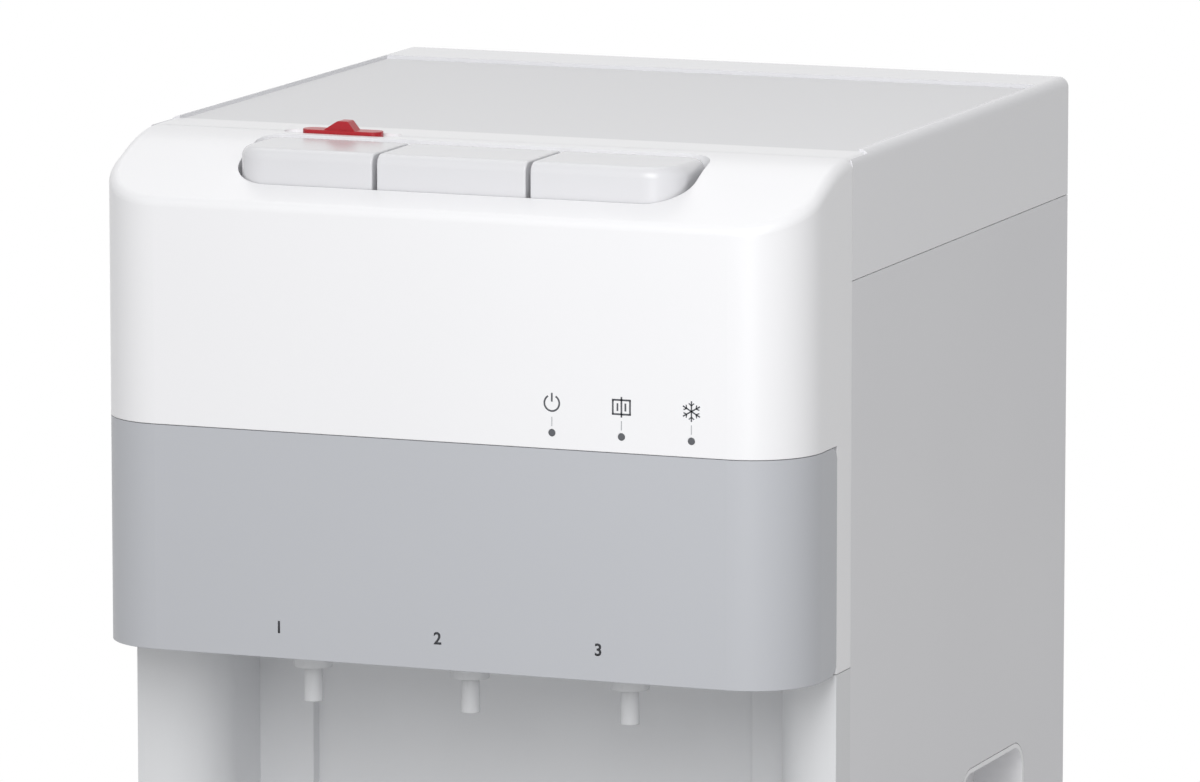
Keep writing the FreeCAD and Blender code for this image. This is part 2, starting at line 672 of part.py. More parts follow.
# ---------------------------------------------------------------- plinth and feet
def make_plinth():
    outer = prism("XY", front_plan(0, back), D.foot_height, plinth_top)
    hollow = prism("XY", front_plan(D.door_wall, back - D.door_wall),
                   D.foot_height, plinth_top - D.door_wall)
    feet_at = [(s * (half - D.foot_inset), y) for s in (-1, 1)
               for y in (front + D.foot_front_inset, back - D.foot_inset)]
    bosses = [cylinder(x, y, D.foot_height, D.foot_radius, D.plinth_height - D.door_wall / 2)
              for x, y in feet_at]
    pin_boss = cylinder(pivot_x, pivot_y, D.foot_height, D.door_boss_radius,
                        D.plinth_height - D.door_wall / 2)
    pin_seat = cylinder(pivot_x, pivot_y, plinth_top - D.door_pin_depth - D.fit_gap,
                        D.door_pin_radius + D.running_fit, D.door_pin_depth * 2)
    node("base_plinth", cut(fuse(cut(outer, hollow), *bosses, pin_boss), pin_seat))
    feet = []
    for x, y in feet_at:
        pad = cylinder(x, y, 0, D.foot_radius, D.foot_height * 0.6)
        feet.append(fuse(pad, cone(x, y, D.foot_height * 0.6, D.foot_radius,
                                   D.foot_radius * 0.8, D.foot_height * 0.4)))
    node("rubber_feet", group(*feet))


# ---------------------------------------------------------------- steel cabinet
skirt_bottom = top - D.cover_skirt
carry_y = front + D.grip_setback
carry_top = housing_bottom + D.carry_rise
carry_bottom = carry_top - D.carry_height


def carry_opening(x0, x1, grow):
    y0, y1 = carry_y - grow, carry_y + D.carry_length + grow
    z0, z1 = carry_bottom - grow, carry_top + grow
    r = D.carry_corner + grow
    return prism("YZ", [(y0, z0, r), (y1, z0, r), (y1, z1, r), (y0, z1, r)], x0, x1)


def make_side(name, s):
    """One steel side with its folded flanges, and the cup of its carrying grip."""
    def across(near, far):
        """Two places at that side, counted inwards from the outside of the cabinet."""
        return (half - far, half - near) if s > 0 else (near - half, far - half)

    z0, z1 = plinth_top, skirt_bottom - D.fit_gap
    wall = box(*across(size(0), D.sheet), y_seam, back, z0, z1)
    front_flange = box(*across(size(0), D.flange), y_seam, y_seam + D.sheet, z0,
                       housing_bottom - D.deck_flange)
    rear_flange = box(*across(size(0), D.flange), panel_inner - D.sheet - D.fit_gap,
                      panel_inner - D.fit_gap, z0, z1)
    opening = carry_opening(*across(size(-1), D.sheet + 1), size(0))
    node(f"{name}_side_panel", cut(fuse(wall, front_flange, rear_flange), opening))
    lip = carry_opening(*across(D.sheet, D.sheet + D.carry_wall), D.carry_lip)
    cup = carry_opening(*across(size(0), D.carry_depth), -D.fit_gap)
    hollow = carry_opening(*across(size(-1), D.carry_depth - D.carry_wall),
                           -D.fit_gap - D.carry_wall)
    node(f"{name}_carry_cup", cut(fuse(lip, cup), hollow))


cover_top = top + D.cover_rise


def under_rim(z, y0, y1):
    """What lies between the sides and under a top with that height and the rounded rim."""
    r = D.rim_radius
    return prism("XZ", [(-half, skirt_bottom), (half, skirt_bottom), (half, z, r),
                        (-half, z, r)], y0, y1)


def make_top_cover():
    r = D.rim_radius
    outer = under_rim(cover_top, y_seam, back)
    x = half - D.sheet
    roof = cover_top - D.cover_rim
    inner = prism("XZ", [(-x, skirt_bottom - 1), (x, skirt_bottom - 1), (x, roof, r / 2),
                         (-x, roof, r / 2)], y_seam - 1, back - D.sheet)
    notch = box(-x, x, y_seam - 1, front + D.bezel_depth, skirt_bottom - 1, cover_top + 1)
    rear = box(-half + D.sheet, half - D.sheet, back - 2 * D.sheet, back + 1,
               skirt_bottom - 1, top - D.cover_rear_skirt)
    x = half - D.cover_side_rim
    field = box(-x, x, front + D.bezel_depth - 1, back - D.cover_rear_rim,
                cover_top - D.cover_recess, cover_top + 1)
    node("top_cover", cut(outer, inner, notch, rear, field))


vent_z = housing_bottom + D.vent_rise
drain_z = housing_bottom + D.hot_leg + 1.5 * D.drain_radius
switch_x = half - D.switch_inset
inlet_x = half - D.inlet_inset
inlet_z = housing_bottom + D.inlet_rise


def switch_spots():
    low = top - D.switch_drop
    return [low, low + D.switch_pitch]


condenser_y = back + D.condenser_room - 2 * D.condenser_wire - D.condenser_tube - D.wire_gap
condenser_top = housing_bottom + D.condenser_rise
condenser_pitch = (condenser_top - D.condenser_bottom) / (D.condenser_runs - 1)
condenser_in_x = condenser_half - 12


def screw_spots():
    z_low, z_high = plinth_top + 24, skirt_bottom - 30
    x = half - D.sheet - D.flange / 2
    spots = []
    for i in range(5):
        z = z_low + (z_high - z_low) * (i / 4)
        spots += [(-x, z), (x, z)]
    return spots


def make_rear():
    panel = body("rear_panel")
    slab(panel, "Pad", "XZ", rectangle(-inside_half, inside_half, plinth_top,
                                       top - D.cover_rear_skirt - D.fit_gap),
         panel_inner, back)
    for z in switch_spots():
        slab(panel, "Pocket", "XZ",
             rectangle(switch_x - D.switch_width / 2, switch_x + D.switch_width / 2,
                       z - D.switch_length / 2, z + D.switch_length / 2),
             panel_inner, back)
    slab(panel, "Pocket", "XZ",
         rectangle(inlet_x - D.inlet_width / 2, inlet_x + D.inlet_width / 2,
                   inlet_z - D.inlet_tall / 2, inlet_z + D.inlet_tall / 2),
         panel_inner, back)
    for x in (-D.vent_spread, D.vent_spread):
        sketch = body_sketch(panel, "XZ", -size(panel_inner))
        draw(sketch, rectangle(x - D.vent_width / 2, x + D.vent_width / 2,
                               vent_z, vent_z + D.vent_slot))
        slot = extrude(panel, "Pocket", sketch, D.sheet)
        rows = panel.newObject("PartDesign::LinearPattern", "vent_rows")
        rows.Originals = [slot]
        rows.Direction = (sketch, ["V_Axis"])
        bind(rows, "Length", D.vent_pitch * (D.vent_rows - 1))
        bind(rows, "Occurrences", D.vent_rows)
        panel.Tip = rows
        doc.recompute()
    holes = body_sketch(panel, "XZ", -size(panel_inner))
    draw_circle(holes, hot_x, drain_z, D.drain_radius + D.fit_gap)
    for x in (condenser_in_x, condenser_down_x):
        draw_circle(holes, x, condenser_top, D.pipe_hole)
    for x, z in screw_spots():
        draw_circle(holes, x, z, D.screw_radius + D.fit_gap)
    extrude(panel, "Pocket", holes, D.sheet)


def make_screws():
    screws = []
    for x, z in screw_spots():
        head = cylinder(x, back, z, D.screw_head_radius, D.screw_head, "Y")
        shank = cylinder(x, back - D.sheet - D.fit_gap / 2, z, D.screw_radius,
                         D.sheet + D.fit_gap, "Y")
        slot = box(x - D.screw_head_radius, x + D.screw_head_radius, back + D.screw_head / 2,
                   back + D.screw_head + 1, z - 0.5, z + 0.5)
        screws.append(cut(fuse(head, shank), slot))
    node("cabinet_screws", group(*screws))


# ---------------------------------------------------------------- head
def under_slope(inset, low):
    """Everything under the head's front and sloped bezel, set in by a wall."""
    rise = top - brow_z
    slant = root(rise * rise + D.crest_setback * D.crest_setback)
    grade = rise / D.crest_setback
    stretch = slant / D.crest_setback
    y0 = front + inset
    y1 = front + D.bezel_depth + 20
    return prism("YZ", [(y0, low), (y0, brow_z + inset * (grade - stretch)),
                        (front + D.crest_setback + inset * (stretch - 1) / grade, top - inset,
                         D.crest_radius - inset),
                        (y1, top - inset), (y1, low)], -half - 1, half + 1)


def recess_plan(grow):
    r = D.button_recess_corner + grow
    rear_r = D.button_recess_rear_corner + grow
    x = recess_half + grow
    y0 = front + D.button_recess_front - grow
    y1 = front + D.button_recess_back + grow
    return [(-x, y0, r), (x, y0, r), (x, y1, rear_r), (-x, y1, rear_r)]


led_x = half - D.led_inset - 2 * D.led_pitch
led_z = band_top + D.led_rise
hinge_y = front + D.button_recess_back - D.button_back_gap - D.hinge_inset
hinge_z = top - D.hinge_drop
lock_y = front + D.lock_setback
lock_floor = top - D.lock_channel_depth
lock_underside = lock_floor - D.lock_channel_floor
skirt_foot = top - D.recess_skirt_drop


def make_head_blank():
    """The white upper part of the head as a solid: its plan, cut to the slope, with its rim."""
    blank = doc.addObject("PartDesign::Body", "head_blank")
    slab(blank, "Pad", "XY", front_plan(0, y_seam), band_top, top)
    rise = top - brow_z
    above = [(front - 5, brow_z - 5 * rise / D.crest_setback),
             (front + D.crest_setback, top, D.crest_radius), (y_seam + 20, top),
             (y_seam + 20, top + 10), (front - 5, top + 10)]
    cut_off = slab(blank, "Pocket", "YZ", above, -half - 1, half + 1)

    def on_rim(edge):
        """Tells whether an edge belongs to the rim along the head's front and sides."""
        spot = middle_of(edge)
        ahead = abs(edge.tangentAt((edge.FirstParameter + edge.LastParameter) / 2).x) < 0.99
        at_front = spot.y < front.number + 0.01
        at_side = ahead and abs(spot.x) > half.number - 0.3 * D.corner_radius.number
        return spot.z > brow_z.number - 1 and (at_front or at_side)

    round_edges(blank, cut_off, D.rim_radius, on_rim)
    return blank


def lock_channel(grow, low, high):
    """The rounded channel that the child lock slides in, or a block around it."""
    x = D.lock_length / 2 + D.lock_channel_end + grow
    y = D.lock_width / 2 + D.lock_channel_gap + grow
    r = D.lock_corner + grow
    return prism("XY", [(D.lock_x - x, lock_y - y, r), (D.lock_x + x, lock_y - y, r),
                        (D.lock_x + x, lock_y + y, r), (D.lock_x - x, lock_y + y, r)], low, high)


def make_head_shell():
    zero = size(0)
    upper = make_head_blank()
    lower = prism("XY", front_plan(head_inset, y_frame + 1), head_bottom, band_top + 1)
    strips = box(-half, half, y_frame, y_seam, head_bottom, band_top + 1)
    outer = fuse(upper, lower, strips)
    wall = head_inset + D.shell
    inner = common(prism("XY", front_plan(wall, y_seam + 1), head_bottom - 1, top),
                   under_slope(wall, head_bottom - 2))
    inner_high = common(prism("XY", front_plan(D.shell, y_seam + 1), band_top + D.shell, top),
                        under_slope(D.shell, band_top))
    side_room = box(-half + D.shell, half - D.shell, y_frame + D.shell, y_seam + 1,
                    head_bottom - 1, band_top + D.shell + 1)
    hollow = cut(outer, inner, inner_high, side_room)
    tongue = common(box(-inside_half, inside_half, y_seam - 1, front + D.bezel_depth,
                        top - D.cover_rim, top),
                    under_rim(top, y_seam - 1, front + D.bezel_depth))
    ring = common(prism("XY", recess_plan(D.recess_skirt), skirt_foot, top),
                  under_slope(zero, head_bottom))
    floor = prism("XY", recess_plan(D.recess_skirt), skirt_foot - D.guide_floor, skirt_foot)
    recess = prism("XY", recess_plan(zero), skirt_foot, top + 1)
    guides = [cylinder(x, tap_y, skirt_foot - D.guide_floor - 1, D.rod_radius + D.running_fit,
                       D.guide_floor + 2) for _, x in TAPS]
    lock_block = common(lock_channel(D.recess_skirt, lock_underside, top),
                        under_slope(zero, head_bottom))
    neck_half = D.lock_neck_length / 2 + D.fit_gap
    slot_half = D.lock_neck_width / 2 + D.fit_gap
    slot = box(D.lock_x - neck_half, D.lock_x + neck_half + D.lock_travel,
               lock_y - slot_half, lock_y + slot_half, lock_underside - 1, top)
    bore = recess_half + D.shaft_end + 1
    shaft = cylinder(-bore, hinge_y, hinge_z, D.shaft_radius + D.running_fit, 2 * bore, "X")
    leds = [cylinder(led_x + i * D.led_pitch, front - 1, led_z,
                     D.led_radius + D.running_fit, D.shell + 2, "Y") for i in range(3)]
    node("head_shell", cut(fuse(hollow, tongue, ring, floor, lock_block), recess, slot, shaft,
                           lock_channel(size(0), lock_floor, top + 1), *guides, *leds))


def make_front_band():
    outer = prism("XY", front_plan(size(0), y_frame - D.fit_gap), head_bottom,
                  band_top - D.fit_gap)
    inner = prism("XY", front_plan(D.band_wall, y_frame + 1), head_bottom - 1,
                  band_top + 1)
    z0, z1 = head_bottom, band_top - D.fit_gap
    y1 = y_frame - D.fit_gap
    side = prism("YZ", [(front - 1, z0), (y1, z0, D.band_corner), (y1, z1, D.band_corner),
                        (front - 1, z1)], -half - 1, half + 1)
    node("front_band", common(cut(outer, inner), side))


def make_niche_ceiling():
    plate = body("niche_ceiling")
    inset = head_inset + D.shell + D.fit_gap
    slab(plate, "Pad", "XY", front_plan(inset, niche_back + D.shell), head_bottom,
         head_bottom + D.ceiling)
    holes = body_sketch(plate, "XY", head_bottom + D.ceiling)
    for _, x in TAPS:
        draw_circle(holes, x, tap_y, D.tap_skirt_radius + D.fit_gap)
    extrude(plate, "Pocket", holes, D.ceiling)


def make_niche():
    """Both pillars, the niche's side walls and ribs, and its back wall: one moulding."""
    z0, z1 = niche_floor + D.fit_gap, head_bottom - D.fit_gap
    t = D.shell
    pieces = []
    for s in (-1, 1):
        def plan(points):
            return [(s * p[0], *p[1:]) for p in (points if s > 0 else points[::-1])]

        solid = prism("XY", plan([(niche_half, y_frame, D.pillar_radius), (half, y_frame),
                                  (half, rib_y + t), (niche_half, rib_y + t)]), z0, z1)
        room = prism("XY", plan([(niche_half + t, y_frame + t, D.pillar_radius - t),
                                 (half - t, y_frame + t), (half - t, rib_y + t + 1),
                                 (niche_half + t, rib_y + t + 1)]), z0 - 1, z1 + 1)
        x0, x1 = (half - t - 1, half + 1) if s > 0 else (-half - 1, t + 1 - half)
        behind = box(x0, x1, y_seam, rib_y + t + 1, z0 - 1, z1 + 1)
        pieces.append(cut(solid, room, behind))
        inner_x = niche_half - D.niche_rib_width
        rib = plan([(inner_x, rib_y), (niche_half + t, rib_y), (niche_half + t, rib_y + t),
                    (inner_x + t, rib_y + t), (inner_x + t, niche_back + t),
                    (inner_x, niche_back + t)])
        pieces.append(prism("XY", rib, z0, z1))
    inner_x = niche_half - D.niche_rib_width
    pieces.append(box(-inner_x - 1, inner_x + 1, niche_back, niche_back + t, z0, z1))
    post_x = D.control_width / 2 - D.control_margin
    for x in (-post_x, post_x):
        for z in (board_z + D.control_margin, board_z + D.control_height - D.control_margin):
            pieces.append(cylinder(x, niche_back + t - 0.5, z, D.standoff / 2, D.standoff + 0.5,
                                   "Y"))
    node("niche_surround", fuse(*pieces))


# ---------------------------------------------------------------- buttons, rods and taps
board_z = niche_floor + D.control_rise

button_y0 = front + D.button_recess_front + D.button_front_gap
button_y1 = front + D.button_recess_back - D.button_back_gap
button_top = top - D.button_sink
button_foot = button_top - D.button_height
rod_top = button_foot + 1.0
spread = D.warm_button_width / 2


def make_buttons():
    spans = [("hot", -row_half, -spread - D.button_gap),
             ("warm", -spread, spread), ("cold", spread + D.button_gap, row_half)]
    for (name, x0, x1), (_, rod_x) in zip(spans, TAPS):
        t = D.button_wall
        item = body(f"{name}_button")
        side = [(button_y0, button_foot), (button_y0 + D.button_toe, button_foot),
                (button_y1, button_top - D.button_tail), (button_y1, button_top),
                (button_y0, button_top)]
        blank = slab(item, "Pad", "YZ", side, x0, x1)
        ends = {"hot": x0, "cold": x1}
        if name in ends:
            for r, y in ((D.button_corner, button_y0), (D.button_rear_corner, button_y1)):
                blank = round_edges(item, blank, r, ends_at(x=ends[name], y=y))
        blank = round_edges(item, blank, D.button_edge, ends_at(y=button_y0, z=button_top),
                            ends_at(y=button_y1, z=button_top))
        beside_gaps = [x for x in (x0, x1) if x is not ends.get(name)]
        round_edges(item, blank, D.button_gap_edge,
                    *(ends_at(x=x, z=button_top) for x in beside_gaps))
        room = rectangle(x0 + t, x1 - t, button_y0 + t, hinge_y - 2.5 * t)
        outer = {"hot": 0, "cold": 1}.get(name)
        if outer is not None:
            room[outer] += (D.button_corner - t,)
        slab(item, "Pocket", "XY", room, button_foot - 1, button_top - t)
        post = body_sketch(item, "XY", rod_top)
        draw_circle(post, rod_x, tap_y, D.rod_radius + 0.75 * t)
        extrude(item, "Pad", post, button_top - t / 2 - rod_top)
        bore = body_sketch(item, "YZ", x1 + 1)
        draw_circle(bore, hinge_y, hinge_z, D.shaft_radius + D.running_fit)
        extrude(item, "Pocket", bore, x1 - x0 + 2)
    reach = recess_half + D.shaft_end
    node("button_shaft", cylinder(-reach, hinge_y, hinge_z, D.shaft_radius, 2 * reach, "X"))


def make_child_lock():
    """A plate in its channel with a lopsided finger fin, held by a keeper under a slot."""
    z0 = lock_floor + D.lock_float
    z1 = z0 + D.lock_plate
    peak = z0 + D.lock_fin_height
    x = D.lock_x
    r = D.lock_corner
    half_plate = D.lock_length / 2
    y0, y1 = lock_y - D.lock_width / 2, lock_y + D.lock_width / 2
    plate = prism("XY", [(x - half_plate, y0, r), (x + half_plate, y0, r),
                         (x + half_plate, y1, r), (x - half_plate, y1, r)], z0, z1)
    reach = D.lock_fin_reach
    fin = prism("XZ", [(x - reach, z1 - 0.5), (x + 0.83 * reach, z1 - 0.5),
                       (x + 0.4 * reach, peak, 0.3 * r), (x - 0.15 * reach, peak, 0.6 * r)],
                lock_y - D.lock_fin_width / 2, lock_y + D.lock_fin_width / 2)
    under = lock_underside - 2 * D.lock_float
    half_neck = D.lock_neck_length / 2
    neck = box(x - half_neck, x + half_neck, lock_y - D.lock_neck_width / 2,
               lock_y + D.lock_neck_width / 2, under - D.lock_keeper / 2, z0 + 0.5)
    keeper = box(x - half_neck, x + half_neck, lock_y - D.lock_keeper_width / 2,
                 lock_y + D.lock_keeper_width / 2, under - D.lock_keeper, under)
    node("child_lock_slider", fuse(plate, fin, neck, keeper))


ceiling_top = head_bottom + D.ceiling
seat_z = ceiling_top + 5.0
body_top = ceiling_top + D.tap_body_height
bonnet_top = body_top + D.bonnet_height
collar_z = bonnet_top + D.spring_length + 2 * D.rod_rest_gap
barb_z = ceiling_top + D.barb_rise
tap_barb_y = tap_y + D.tap_body_radius - 1 + D.barb_length


def make_taps():
    for name, x in TAPS:
        item = body(f"{name}_tap")
        put(item, x, tap_y, 0)
        skirt_foot_z = head_bottom - D.tap_skirt_drop
        nozzle_foot = head_bottom - D.nozzle_drop
        chamber_foot = head_bottom - 1.0
        outer = D.tap_skirt_radius
        sketch = body_sketch(item, "XZ", 0)
        draw(sketch, [
            (D.nozzle_bore, nozzle_foot), (D.nozzle_radius, nozzle_foot),
            (D.nozzle_radius * 0.88, head_bottom - 3), (outer - D.skirt_wall, head_bottom - 3),
            (outer - D.skirt_wall, skirt_foot_z), (outer, skirt_foot_z),
            (outer, ceiling_top + 0.2),
            (D.tap_flange_radius, ceiling_top + 0.2), (D.tap_flange_radius, ceiling_top + 3.2),
            (D.tap_body_radius, ceiling_top + 3.2), (D.tap_body_radius, body_top),
            (D.bonnet_radius, body_top), (D.bonnet_radius, bonnet_top),
            (D.rod_radius + D.running_fit, bonnet_top),
            (D.rod_radius + D.running_fit, body_top - 4),
            (D.tap_body_radius - 2.5, body_top - 4), (D.tap_body_radius - 2.5, seat_z + 1.5),
            (D.stem_radius + 1.5, seat_z + 1.5), (D.stem_radius + 1.5, seat_z),
            (D.valve_disc_radius + 1.2, seat_z), (D.valve_disc_radius + 1.2, chamber_foot),
            (D.nozzle_bore, chamber_foot)])
        spin = item.newObject("PartDesign::Revolution", "turned")
        spin.Profile = sketch
        spin.ReferenceAxis = (sketch, ["V_Axis"])
        spin.Angle = 360.0
        doc.recompute()
        barb = body_sketch(item, "XZ", -(D.tap_body_radius - 1 + D.barb_length))
        draw_circle(barb, 0, barb_z, D.barb_radius)
        extrude(item, "Pad", barb, D.barb_length)
        bore = body_sketch(item, "XZ", -(D.tap_body_radius - 6))
        draw_circle(bore, 0, barb_z, D.barb_bore)
        extrude(item, "Pocket", bore, D.barb_length + 8)


def make_rods_and_springs():
    stem_top = body_top - 8
    disc_top = seat_z - 0.3
    for name, x in TAPS:
        rod = cylinder(x, tap_y, stem_top, D.rod_radius, rod_top - D.rod_rest_gap - stem_top)
        stem = cylinder(x, tap_y, disc_top - D.valve_disc / 2, D.stem_radius,
                        stem_top - disc_top + D.valve_disc)
        disc = cylinder(x, tap_y, disc_top - D.valve_disc, D.valve_disc_radius, D.valve_disc)
        collar = cylinder(x, tap_y, collar_z, D.rod_collar_radius, D.rod_collar)
        node(f"{name}_push_rod", fuse(rod, stem, disc, collar))
        z = bonnet_top + D.rod_rest_gap
        node(f"{name}_return_spring",
             cut(cylinder(x, tap_y, z, D.spring_radius, D.spring_length),
                 cylinder(x, tap_y, z - 1, D.spring_radius - 2 * D.spring_wire,
                          D.spring_length + 2)))


def make_indicators():
    wall = front + D.shell
    y0 = wall + D.board_post
    margin = D.led_pitch * 0.45
    board = box(led_x - margin, led_x + 2 * D.led_pitch + margin, y0, y0 + D.board,
                led_z - 1.4 * D.led_radius, led_z + 2 * margin)
    posts = [cylinder(led_x + (i + 0.5) * D.led_pitch, wall, led_z + 1.4 * margin,
                      D.board_post / 2, D.board_post, "Y") for i in range(2)]
    node("indicator_board", fuse(board, *posts))
    pipes = [cylinder(led_x + i * D.led_pitch, front, led_z, D.led_radius,
                      D.shell + D.board_post, "Y") for i in range(3)]
    node("indicator_light_pipes", group(*pipes))


def make_control_board():
    y0 = niche_back + D.shell + D.standoff
    y1 = y0 + D.board
    half_width = D.control_width / 2
    board = box(-half_width, half_width, y0, y1, board_z, board_z + D.control_height)
    step = D.control_width / 15
    relay_x = [-half_width + step * (1 + 3 * i) for i in range(3)]
    relays = [box(rx, rx + 2.25 * step, y1 - 0.2, y1 + D.relay_depth, board_z + step,
                  board_z + 3.75 * step) for rx in relay_x]
    power = box(3 * step, 6.5 * step, y1 - 0.2, y1 + 2.5 * step, board_z + 4.5 * step,
                board_z + 8.75 * step)
    chip = box(-3.75 * step, -1.5 * step, y1 - 0.2, y1 + 0.375 * step, board_z + 5.75 * step,
               board_z + 7.5 * step)
    node("control_board", fuse(board, *relays, power, chip))


# ---------------------------------------------------------------- tray
tray_top = niche_floor - 1.0
tray_foot = housing_bottom + D.tray_floor + D.fit_gap


def make_tray_housing():
    z0, z1 = housing_bottom, niche_floor
    plan = prism("XY", front_plan(size(0), y_seam), z0, z1)
    rear = box(-inside_half, inside_half, y_seam - 1, niche_back + D.shell, z0, z1)
    slot = box(-tray_half - 0.5, tray_half + 0.5, front - 1, rib_y + 0.5,
               z0 + D.tray_floor, z1 + 1)
    rooms = []
    for s in (-1, 1):
        x0, x1 = tray_half + 0.5 + D.shell, half - D.shell - D.sheet - D.fit_gap
        low, high = (x0, x1) if s > 0 else (-x1, -x0)
        rooms.append(box(low, high, front + D.corner_radius, niche_back, z0 - 1,
                         z1 - D.shell))
    seat = cylinder(pivot_x, pivot_y, z0 - 1, D.door_pin_radius + D.running_fit,
                    D.door_pin_depth + 1 + D.fit_gap)
    node("tray_housing", cut(fuse(plan, rear), slot, *rooms, seat))


def make_drip_tray():
    t = D.tray_wall
    x = tray_half
    y1 = rib_y
    outer = box(-x, x, front, y1, tray_foot, tray_top)
    room = box(-x + t, x - t, front + D.tray_face, y1 - t, tray_foot + t, tray_top + 1)
    ledge_z = tray_top - D.grille - D.fit_gap
    ledge = cut(box(-x + t / 2, x - t / 2, front + D.tray_face - 1, y1 - t / 2, ledge_z - 2,
                    ledge_z),
                box(-x + t + 2, x - t - 2, front + D.tray_face + 2, y1 - t - 2, ledge_z - 3,
                    ledge_z + 1))
    node("drip_tray", fuse(cut(outer, room), ledge))


grille_x = tray_half - D.tray_wall - D.fit_gap
grille_y0 = front + D.tray_face + D.fit_gap
grille_y1 = rib_y - D.tray_wall - D.fit_gap


def make_drip_grille():
    item = body("drip_grille")
    z0, z1 = tray_top - D.grille, tray_top
    slab(item, "Pad", "XY", rectangle(-grille_x, grille_x, grille_y0, grille_y1), z0, z1)
    middle = (grille_y0 + grille_y1) / 2
    count = int((2 * grille_x.number - 2 * D.grille_margin.number - D.grille_slot.number)
                / D.grille_pitch.number) + 1
    for y0, y1 in ((grille_y0 + D.grille_margin, middle - 3),
                   (middle + 3, grille_y1 - D.grille_margin)):
        sketch = body_sketch(item, "XY", z1)
        x0 = -grille_x + D.grille_margin
        draw(sketch, rectangle(x0, x0 + D.grille_slot, y0, y1))
        slot = extrude(item, "Pocket", sketch, D.grille)
        row = item.newObject("PartDesign::LinearPattern", "slots")
        row.Originals = [slot]
        row.Direction = (sketch, ["H_Axis"])
        bind(row, "Length", D.grille_pitch * (count - 1))
        row.Occurrences = count
        item.Tip = row
        doc.recompute()


# ---------------------------------------------------------------- door and its frame
def make_door_frame():
    z0, z1 = plinth_top, housing_bottom
    t = D.shell
    pieces = []
    for s in (-1, 1):
        def span(near, far):
            return (half - far, half - near) if s > 0 else (near - half, far - half)

        pieces.append(box(*span(size(0), t), y_frame, y_seam, z0, z1))
        pieces.append(box(*span(size(0), D.flange + 2), y_seam - t, y_seam, z0, z1))
    lintel = box(-half + 1, half - 1, y_seam - t, y_seam, deck_bottom - 8, z1)
    node("door_frame", fuse(*pieces, lintel))


def make_door():
    t = D.door_wall
    outer = prism("XY", front_plan(size(0), door_back), door_bottom, door_top)
    room = prism("XY", front_plan(t, door_back + 1), door_bottom + t, door_top - t)
    grip_block = box(-D.grip_half - t, D.grip_half + t, front + 1,
                     front + D.grip_depth + t, door_top - D.grip_height - t, door_top)
    grip = box(-D.grip_half, D.grip_half, front - 1, front + D.grip_depth,
               door_top - D.grip_height, door_top + 1)
    lip = box(-D.grip_half - 1, D.grip_half + 1, front, front + t,
              door_top - D.grip_height, door_top - D.grip_height + D.grip_lip)
    boss_length = D.door_pin_depth + 4
    bosses = [cylinder(pivot_x, pivot_y, z, D.door_boss_radius, boss_length)
              for z in (door_bottom, door_top - boss_length)]
    bores = [cylinder(pivot_x, pivot_y, z, D.door_pin_radius + D.running_fit,
                      D.door_pin_depth + 1.5)
             for z in (door_bottom - 1, door_top - D.door_pin_depth - 0.5)]
    shell = fuse(cut(outer, room), grip_block, *bosses)
    node("door_outer_panel", cut(fuse(cut(shell, grip), lip), *bores))

    x = half - t - D.fit_gap
    y0 = front + D.door_liner_setback
    z0, z1 = door_bottom + t + D.fit_gap, door_top - t - D.fit_gap
    plate = box(-x, x, y0, y0 + D.door_liner, z0, z1)
    catch_x1 = half - t - 1.5
    block = box(catch_x1 - 16, catch_x1, y0 + D.door_liner - 0.5, door_back - D.sheet,
                D.catch_height - D.catch_length / 2, D.catch_height + D.catch_length / 2)
    node("door_inner_panel", fuse(plate, block))
    node("strike_plate", box(catch_x1 - 15, catch_x1 - 1, door_back - D.sheet, door_back,
                             D.catch_height - D.catch_length / 2 + 2,
                             D.catch_height + D.catch_length / 2 - 2))
    node("door_catch_magnet", box(catch_x1 - 15, catch_x1 - 1, door_back + D.fit_gap,
                                  y_seam - D.shell, D.catch_height - D.catch_length / 2 + 2,
                                  D.catch_height + D.catch_length / 2 - 2))
    depth = D.door_pin_depth
    pins = [cylinder(pivot_x, pivot_y, z, D.door_pin_radius, 2 * depth)
            for z in (plinth_top - depth, housing_bottom - depth)]
    node("door_hinge_pins", group(*pins))


# ---------------------------------------------------------------- bottle bay
probe_x = -half + D.probe_inset
probe_z = deck_bottom - D.probe_hang


